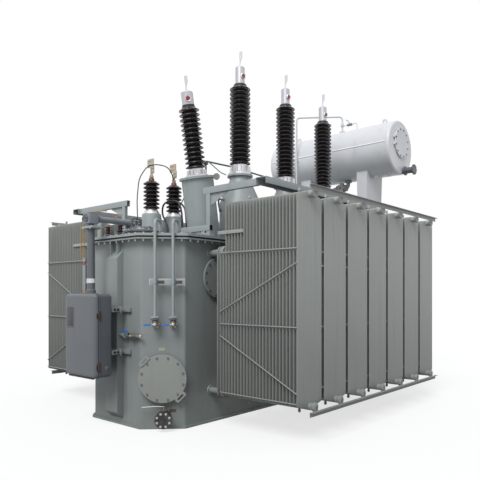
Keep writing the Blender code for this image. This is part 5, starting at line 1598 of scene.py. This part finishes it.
def makeDrainValve():
    # Flange at the wall, bronze bonnet, thin lever and the black blind flange
    v = valveValues
    along, reach, radius = v["drainAlong"], v["drainReach"], v["drainRadius"]
    place = aimed(chamferSpot(along, v["drainZ"]), chamferOut)
    drain = bmesh.new()
    body = [(0, reach), (radius, reach), (radius, reach - 0.020), (radius - 0.004, reach - 0.021),
            (radius, reach - 0.022), (radius, reach - 0.045), (0.05, reach - 0.047), (0.045, 0.06),
            (0.06, 0.03), (0.09, 0.028), (0.09, 0.0003), (0, 0.0003)]
    addLathe(drain, body, place, 40)
    middle = chamferSpot(along, v["drainZ"], reach * 0.45)
    bonnet = [(0, 0.16), (0.012, 0.16), (0.012, 0.11), (0.038, 0.105), (0.045, 0.07), (0.045, 0.0), (0, 0.0)]
    addLathe(drain, bonnet, level(*middle), 24, mat=1)
    lever = [middle + Vector((-away, -away, up)) for away, up in v["drainLever"]]
    addTube(drain, lever, 0.007, 10, mat=2, bend=0.02)
    finishes = [blackPaint, bronzeBody, zincBolt]
    makePiece("drainValve", drain, finishes, replaced=("drain_valve",))
    return boltMesh(ringSpots(place, radius - 0.026, 8, reach, 22), 0.011, 0.010, 0.016, darkZinc)


def makeValves():
    v = valveValues
    bolts = [makeEndValve()]
    sideways = Vector((-diagonal, -diagonal, 0)) * v["leverSide"] - Vector((0, 0, v["leverDrop"]))
    for side, along in zip(("left", "right"), pipeValues["offsets"]):
        hub = chamferSpot(along, pipeValues["valveZ"], pipeValues["reach"] + v["leverOut"])
        name = f"valveLever{side.capitalize()}"
        makeLever(name, f"valve_lever_{side}", hub, sideways, chamferOut, v["leverShort"])
    bolts.append(makeDrainValve())
    boltPiece("valveBolts", bolts)


makeCovers()
makeChamferPipes()
makeValves()
print("near end ready")


# Rails, tie bars, frames and oil pipes

def dress(node, material):
    # A CAD node that stays in view gets its finish
    thing = bpy.data.objects[node]
    thing.data.materials.clear()
    thing.data.materials.append(material)


tieValues = {
    "rod": 0.0075, "inner": 1.35, "outer": 2.55,
    # Heights of each rod at its inner and its outer end
    "runs": ((0.495, 0.495), (1.374, 1.374), (2.285, 2.285), (1.53, 2.12), (1.22, 0.61)),
    "stub": (1.31, 1.74, 2.545), "gapRod": 0.008, "gapLevels": (2.27, 2.10, 1.36, 0.62),
}


def makeTieBars():
    v = tieValues
    for side, sign in (("right", 1), ("left", -1)):
        face = boxOf(f"radiator_{side}_1")[0].y
        y = face - v["rod"]
        work = bmesh.new()
        for a, b in v["runs"]:
            addTube(work, [(sign * v["inner"], y, a), (sign * v["outer"], y, b)], v["rod"], 10)
        # Short flat bar across the inner panels
        a, b, z = v["stub"]
        ends = sorted((sign * a, sign * b))
        addBlock(work, (ends[0], face - 0.012, z - 0.022), (ends[1], face - 0.001, z + 0.022), bevel=0.002)
        # Rods run on between the radiators, where their ends show in the gaps
        x = sign * (v["outer"] - 0.02)
        for i in range(1, 7):
            start = boxOf(f"radiator_{side}_{i}")[1].y - 0.002
            end = boxOf(f"radiator_{side}_{i + 1}")[0].y + 0.002
            for z in v["gapLevels"]:
                addTube(work, [(x, start, z), (x, end, z)], v["gapRod"], 8)
        name = f"tieBars{side.capitalize()}"
        makePiece(name, work, [radiatorGrey], replaced=(f"tie_bars_{side}",))


frameValues = {
    "top": 3.23, "beam": 0.09, "length": 2.84, "near": {"right": -2.06, "left": -2.15},
    "out": {"right": 1.82, "left": 2.18}, "inside": 0.05, "outside": 0.12, "half": 0.03, "wall": 0.006,
    "sheet": 0.008, "over": 0.06, "start": 0.80, "post": (0.86, 0.93), "foot": (0.70, 0.95),
    "gusset": (0.92, 1.30, 0.17), "gussetHalf": 0.004,
    "crossX": (0.30, 0.93), "crossZ": (0.085, 0.165), "crossFeet": (0.36, 0.80),
}


def makeFrames():
    # Folded channel frames that carried the busbars
    v = frameValues
    base = boxOf("tank_cover")[1].z
    half, wall, top, sheet, over = v["half"], v["wall"], v["top"], v["sheet"], v["over"]
    low = top - v["beam"]
    start, (postIn, postOut), (footIn, footOut) = v["start"], v["post"], v["foot"]
    for side, sign in (("right", 1), ("left", -1)):
        near, out = v["near"][side], v["out"][side]
        far = near + v["length"]
        work = bmesh.new()

        def span(x1, y1, z1, x2, y2, z2):
            xs = sorted((sign * x1, sign * x2))
            addBlock(work, (xs[0], y1, z1), (xs[1], y2, z2))

        inner, outer = out - v["inside"], out + v["outside"]
        for y in (near, far):
            span(start, y - half, top - sheet, inner, y + half, top)
            span(start, y - half, low, inner, y - half + wall, top - wall)
            span(start, y + half - wall, low, inner, y + half, top - wall)
            span(postIn, y - half + 0.002, base + 0.02, postOut, y + half - 0.002, top - 0.01)
            span(footIn, y - 0.05, base + 0.0003, footOut, y + 0.05, base + 0.05)
        span(inner, near - over, top - sheet, outer, far + over, top)
        span(inner, near - over, low + 0.005, inner + sheet, far + over, top - wall)
        span(outer - sheet, near - over, low + 0.005, outer, far + over, top - wall)
        # Gusset between each post and its beam
        a, b, drop = v["gusset"]
        plate = [(sign * a, low + 0.01), (sign * b, low + 0.01), (sign * a, low - drop)]
        for y in (near, far):
            addPrism(work, plate, -v["gussetHalf"], v["gussetHalf"], seenAlongY(y))
        if side == "right":
            # Cross beam that the near post's foot stands beside
            (left, right), (bottom, upper) = v["crossX"], v["crossZ"]
            addBlock(work, (left, near - 0.035, base + bottom), (right, near + 0.035, base + upper),
                     bevel=0.004)
            for x in v["crossFeet"]:
                addBlock(work, (x - 0.03, near - 0.03, base + 0.0003), (x + 0.03, near + 0.03, base + 0.09),
                         bevel=0.002)
        name = f"busbarFrame{side.capitalize()}"
        makePiece(name, work, [paleGrey], replaced=(f"busbar_frame_{side}",))


oilValues = {
    "relayX": (0.464, 0.10), "relayY": 2.50, "relayZ": 3.96, "relayFootY": 1.90, "relayRadius": 0.038,
    "relayLean": 1.6, "relayBend": 0.07, "drumZ": 4.0917, "bodyX": 0.315, "bodyHalf": 0.075,
    "ventX": 0.276, "ventY": 2.584, "ventTop": 5.4903, "ventFar": (-0.49, 2.0), "ventRadius": 0.018,
    "ventBend": 0.08, "ventDiscs": (-0.002, 0.020), "drumTop": 5.1353, "clipZ": 4.575,
    "sideX": (0.40, 0.50, 0.62), "sideZ": 5.29, "sideLever": ((0.45, 0.0), (0.43, 0.07), (0.36, 0.12)),
}


def makeRelayPipe(base):
    v = oilValues
    right, left = v["relayX"]
    y, z, footY = v["relayY"], v["relayZ"], v["relayFootY"]
    lean = z - (y - footY) * v["relayLean"]
    path = [(right, y, v["drumZ"]), (right, y, z), (left, y, z), (left, footY, lean), (left, footY, base)]
    work = bmesh.new()
    addTube(work, path, v["relayRadius"], 20, bend=v["relayBend"])
    # Relay with a round flange at each side, and the shut-off valve before it
    x, half = v["bodyX"], v["bodyHalf"]
    addBlock(work, (x - half * 0.8, y - half, z - half), (x + half * 0.8, y + half, z + half), bevel=0.018)
    addDisc(work, 0.045, 0.03, level(x, y, z + half - 0.004), 24)
    for spot in (x - half - 0.012, x + half - 0.010, left + 0.10, right - 0.055):
        addDisc(work, 0.07, 0.022, aimed((spot, y, z), (1, 0, 0)), 26)
    addDisc(work, 0.075, 0.022, level(right, y, v["drumZ"] - 0.035), 26)
    addDisc(work, 0.075, 0.022, level(left, footY, base), 26)
    addDisc(work, 0.030, 0.006, aimed((x, y - half + 0.001, z), (0, -1, 0)), 20, mat=1)
    makePiece("relayPipe", work, [greenGrey, redMark], replaced=("relay_pipe",))


def makeVentPipe(base):
    v = oilValues
    x, y, top, high = v["ventX"], v["ventY"], v["drumTop"], v["ventTop"]
    farX, farY = v["ventFar"]
    vent = bmesh.new()
    path = [(x, y, top), (x, y, high), (farX, farY, high), (farX, farY, base)]
    addTube(vent, path, v["ventRadius"], 18, bend=v["ventBend"])
    for lift in v["ventDiscs"]:
        addDisc(vent, 0.06, 0.02, level(x, y, top + lift), 24)
    addDisc(vent, 0.036, 0.05, level(x, y, top + 0.145), 20)
    addDisc(vent, 0.06, 0.02, level(farX, farY, base), 24)
    # Side valve beside the vent, with a thin pipe back down to the drum
    inner, outer, back = v["sideX"]
    side = v["sideZ"]
    addTube(vent, [(x, y, side), (inner, y, side)], 0.009, 10)
    addTube(vent, [(outer, y, side), (back, y, side + 0.005), (back, y, top)], 0.008, 10, bend=0.04)
    addTube(vent, [(inner, y, side), (outer, y, side)], 0.028, 16, mat=1)
    lever = [(leverX, y, side + up) for leverX, up in v["sideLever"]]
    addTube(vent, lever, 0.007, 10, mat=1, bend=0.02)
    # Clip from the vent's long leg to the drum
    addTube(vent, [(farX, farY, v["clipZ"]), (farX, farY + 0.12, v["clipZ"])], 0.010, 10)
    makePiece("ventPipe", vent, [offWhite, casingGrey], replaced=("vent_pipe",))


def makeOilPipes():
    base = boxOf("tank_cover")[1].z + 0.0003
    makeRelayPipe(base)
    makeVentPipe(base)


makeTieBars()
makeFrames()
makeOilPipes()
for node in ("rail_right_top", "rail_right_bottom", "rail_left_top", "rail_left_bottom"):
    dress(node, radiatorGrey)
print("frames and pipes ready")


# Small fittings over the cover: gas pipe, earthing bushings, cables and the hand-hole's vent

gasValues = {
    "radius": 0.013, "x": 0.40,
    "stops": ((-1.63, 3.52), (-1.63, 3.75), (-1.04, 3.77), (-0.28, 3.75), (0.92, 3.75), (1.25, 3.75),
              (1.25, 3.60)),
    "drops": (-0.90, 0.30, 1.25), "gaugeArm": ((0.42, -1.58, 3.74), (0.45, -1.36, 3.62), (0.46, -1.25, 3.60)),
    "gauge": (0.40, -1.40, 3.555), "gaugeAim": (0.75, -0.66, 0),
}


def makeGasPipe():
    # Thin pipe along the turrets, with a branch down to each and a gauge on an arm
    v = gasValues
    r, x = v["radius"], v["x"]
    work = bmesh.new()
    addTube(work, [(x, y, z) for y, z in v["stops"]], r, 12, bend=0.04)
    for y in v["drops"]:
        addTube(work, [(x, y, 3.76), (x, y, 3.605)], r * 0.8, 10)
    addDisc(work, 0.035, 0.05, level(x, -1.63, 3.70), 18)
    addDisc(work, 0.028, 0.04, aimed((x, -1.66, 3.73), (0, -1, 0)), 18)
    makePiece("gasPipe", work, [driveGrey])
    gauge = bmesh.new()
    addTube(gauge, v["gaugeArm"], 0.008, 10, bend=0.03)
    addDisc(gauge, 0.05, 0.03, aimed(v["gauge"], v["gaugeAim"]), 24)
    makePiece("gasGauge", gauge, [paleGrey])


earthingValues = {"spots": ((-0.49, -2.75), (-0.20, -2.75)), "sheds": 3, "topShed": 0.195, "pitch": 0.04}


def makeEarthing():
    # Two small bushings on pads beside the tap changer's drive
    v = earthingValues
    base = boxOf("tank_cover")[1].z
    pad = [(0, 0.075), (0.058, 0.075), (0.058, 0.06), (0.045, 0.058), (0.045, 0.012), (0.065, 0.01),
           (0.065, 0), (0, 0)]
    porcelain = [(0, 0.215), (0.02, 0.215), (0.024, 0.205)]
    for k in range(v["sheds"]):
        z = v["topShed"] - v["pitch"] * k
        porcelain += [(0.030, z), (0.052, z - 0.014), (0.052, z - 0.020), (0.030, z - 0.028)]
    porcelain += [(0.034, 0.075), (0, 0.075)]
    work = bmesh.new()
    for x, y in v["spots"]:
        place = level(x, y, base)
        addLathe(work, pad, place, 24, mat=1)
        addLathe(work, porcelain, place, 24)
        addCylinder(work, 0.008, 0.21, 0.245, place, 10, mat=2)
    makePiece("earthingBushings", work, [glazeRed, driveGrey, castSilver])


cableValues = {
    "thin": 0.008, "thick": 0.0140, "sleeve": 0.0065, "hose": 0.011, "hoseEnd": 0.018,
    # From the tap changer's gear up in an arch to the second low-voltage terminal
    "arch": ((0.0, -2.62, 2.78), (-0.02, -2.58, 2.84), (-0.12, -2.507, 2.924), (-0.30, -2.374, 3.15),
             (-0.42, -2.242, 3.515), (-0.42, -2.088, 3.717), (-0.42, -1.94, 3.776), (-0.42, -1.79, 3.79),
             (-0.42, -1.662, 3.777), (-0.43, -1.56, 3.68), (-0.44, -1.535, 3.58)),
    # Thick loops that stand in front of the second low-voltage bushing
    "loops": (((-0.263, -1.80, 2.546), (-0.263, -1.80, 2.80), (-0.405, -1.80, 3.02), (-0.38, -1.80, 3.17),
               (-0.20, -1.80, 3.21), (-0.01, -1.80, 3.17), (0.058, -1.80, 2.99), (0.058, -1.80, 2.546)),
              ((-0.28, -1.77, 3.17), (-0.10, -1.77, 3.19), (0.03, -1.78, 3.13), (0.125, -1.80, 3.05),
               (0.150, -1.80, 2.90), (0.160, -1.80, 2.546))),
    "branch": ((0.02, -1.80, 3.13), (0.058, -1.80, 3.15), (0.102, -1.80, 3.21)),
    # Yellow sleeves: two that hang beside the gear, then two level ones with the bend of their corners
    "hanging": (-0.243, -0.172), "hangingY": -3.35, "hangingZ": (2.70, 2.50, 2.24),
    "levelSleeves": ((0.05, ((-0.19, -3.25, 2.835), (-0.09, -3.25, 2.850), (0.05, -3.25, 2.850),
                             (0.20, -3.25, 2.835))),
                     (0.04, ((-0.08, -2.95, 2.80), (0.01, -2.95, 2.81), (0.12, -2.95, 2.83)))),
    "conduitX": -0.185, "clipEnd": -0.130, "clipZ": (1.90, 2.15),
    "hoseRoute": ((1.40, -2.300, 2.965), (1.325, -2.330, 2.985), (1.325, -2.330, 2.90),
                  (1.352, -2.330, 2.835)),
    "hoseTip": ((1.350, -2.330, 2.850), (1.358, -2.330, 2.815)),
}


def makeCables():
    v = cableValues
    black = bmesh.new()
    addTube(black, v["arch"], v["thin"], 10, bend=0.12)
    for route in v["loops"]:
        addTube(black, route, v["thick"], 12, bend=0.09)
    addTube(black, v["branch"], v["thin"], 10, bend=0.02)
    makePiece("blackCables", black, [blackCable])
    yellow = bmesh.new()
    for x in v["hanging"]:
        addTube(yellow, [(x, v["hangingY"], z) for z in v["hangingZ"]], v["sleeve"], 10)
    for bend, route in v["levelSleeves"]:
        addTube(yellow, route, v["sleeve"], 10, bend=bend)
    makePiece("yellowCables", yellow, [yellowSleeve])
    # Short black hose that hooks over the first right radiator's inner corner
    hook = bmesh.new()
    addTube(hook, v["hoseRoute"], v["hose"], 10, bend=0.03)
    addTube(hook, v["hoseTip"], v["hoseEnd"], 12)
    makePiece("hoseHook", hook, [blackCable])
    # Conduit strip down beside the tube, with a red mark at its top
    strip = bmesh.new()
    x = v["conduitX"]
    addBlock(strip, (x - 0.030, -3.345, 1.80), (x + 0.030, -3.315, 2.24), bevel=0.006)
    addBlock(strip, (x - 0.033, -3.349, 2.145), (x + 0.033, -3.342, 2.188), bevel=0.002, mat=1)
    addBlock(strip, (x - 0.025, -3.342, 1.760), (x + 0.025, -3.318, 1.80), bevel=0.003, mat=2)
    for z in v["clipZ"]:
        addBlock(strip, (x + 0.025, -3.330, z - 0.012), (v["clipEnd"], -3.315, z + 0.012), bevel=0.002)
    makePiece("conduitStrip", strip, [greenGrey, redMark, yellowSleeve])


neckValues = {
    "y": -1.72, "z": 2.30, "reach": 0.10, "drop": 0.12, "radius": 0.03, "bend": 0.06,
    "flanges": (0.05, 0.078), "markX": 1.165, "markSide": 0.084,
}


def makeVentPlug():
    # Small pipe with a flange pair over the hand-hole, and its plug
    v = neckValues
    x, y, z = tankValues["half"], v["y"], v["z"]
    out = x + v["reach"]
    work = bmesh.new()
    addTube(work, [(x - 0.01, y, z), (out, y, z), (out, y, z - v["drop"])], v["radius"], 16, bend=v["bend"])
    for far in v["flanges"]:
        addDisc(work, 0.055, 0.022, aimed((x + far, y, z), (1, 0, 0)), 22)
    addDisc(work, 0.05, 0.020, level(out, y, z - 0.135), 22)
    addDisc(work, 0.016, 0.03, aimed((x + 0.08, y + 0.09, z), (1, 0, 0)), 14, mat=1)
    makePiece("neckPipe", work, [greenGrey, castSilver])


def makeMark():
    # Yellow paint mark on the first right radiator's lower stub flange
    v = neckValues
    y = boxOf("radiator_right_1")[2].y - v["markSide"]
    work = bmesh.new()
    addDisc(work, 0.02, 0.003, aimed((v["markX"], y, tankValues["stubLevels"][0]), (0, -1, 0)), 12)
    makePiece("yellowMarks", work, [yellowSleeve])


makeGasPipe()
makeEarthing()
makeCables()
makeVentPlug()
makeMark()
print("fittings ready")
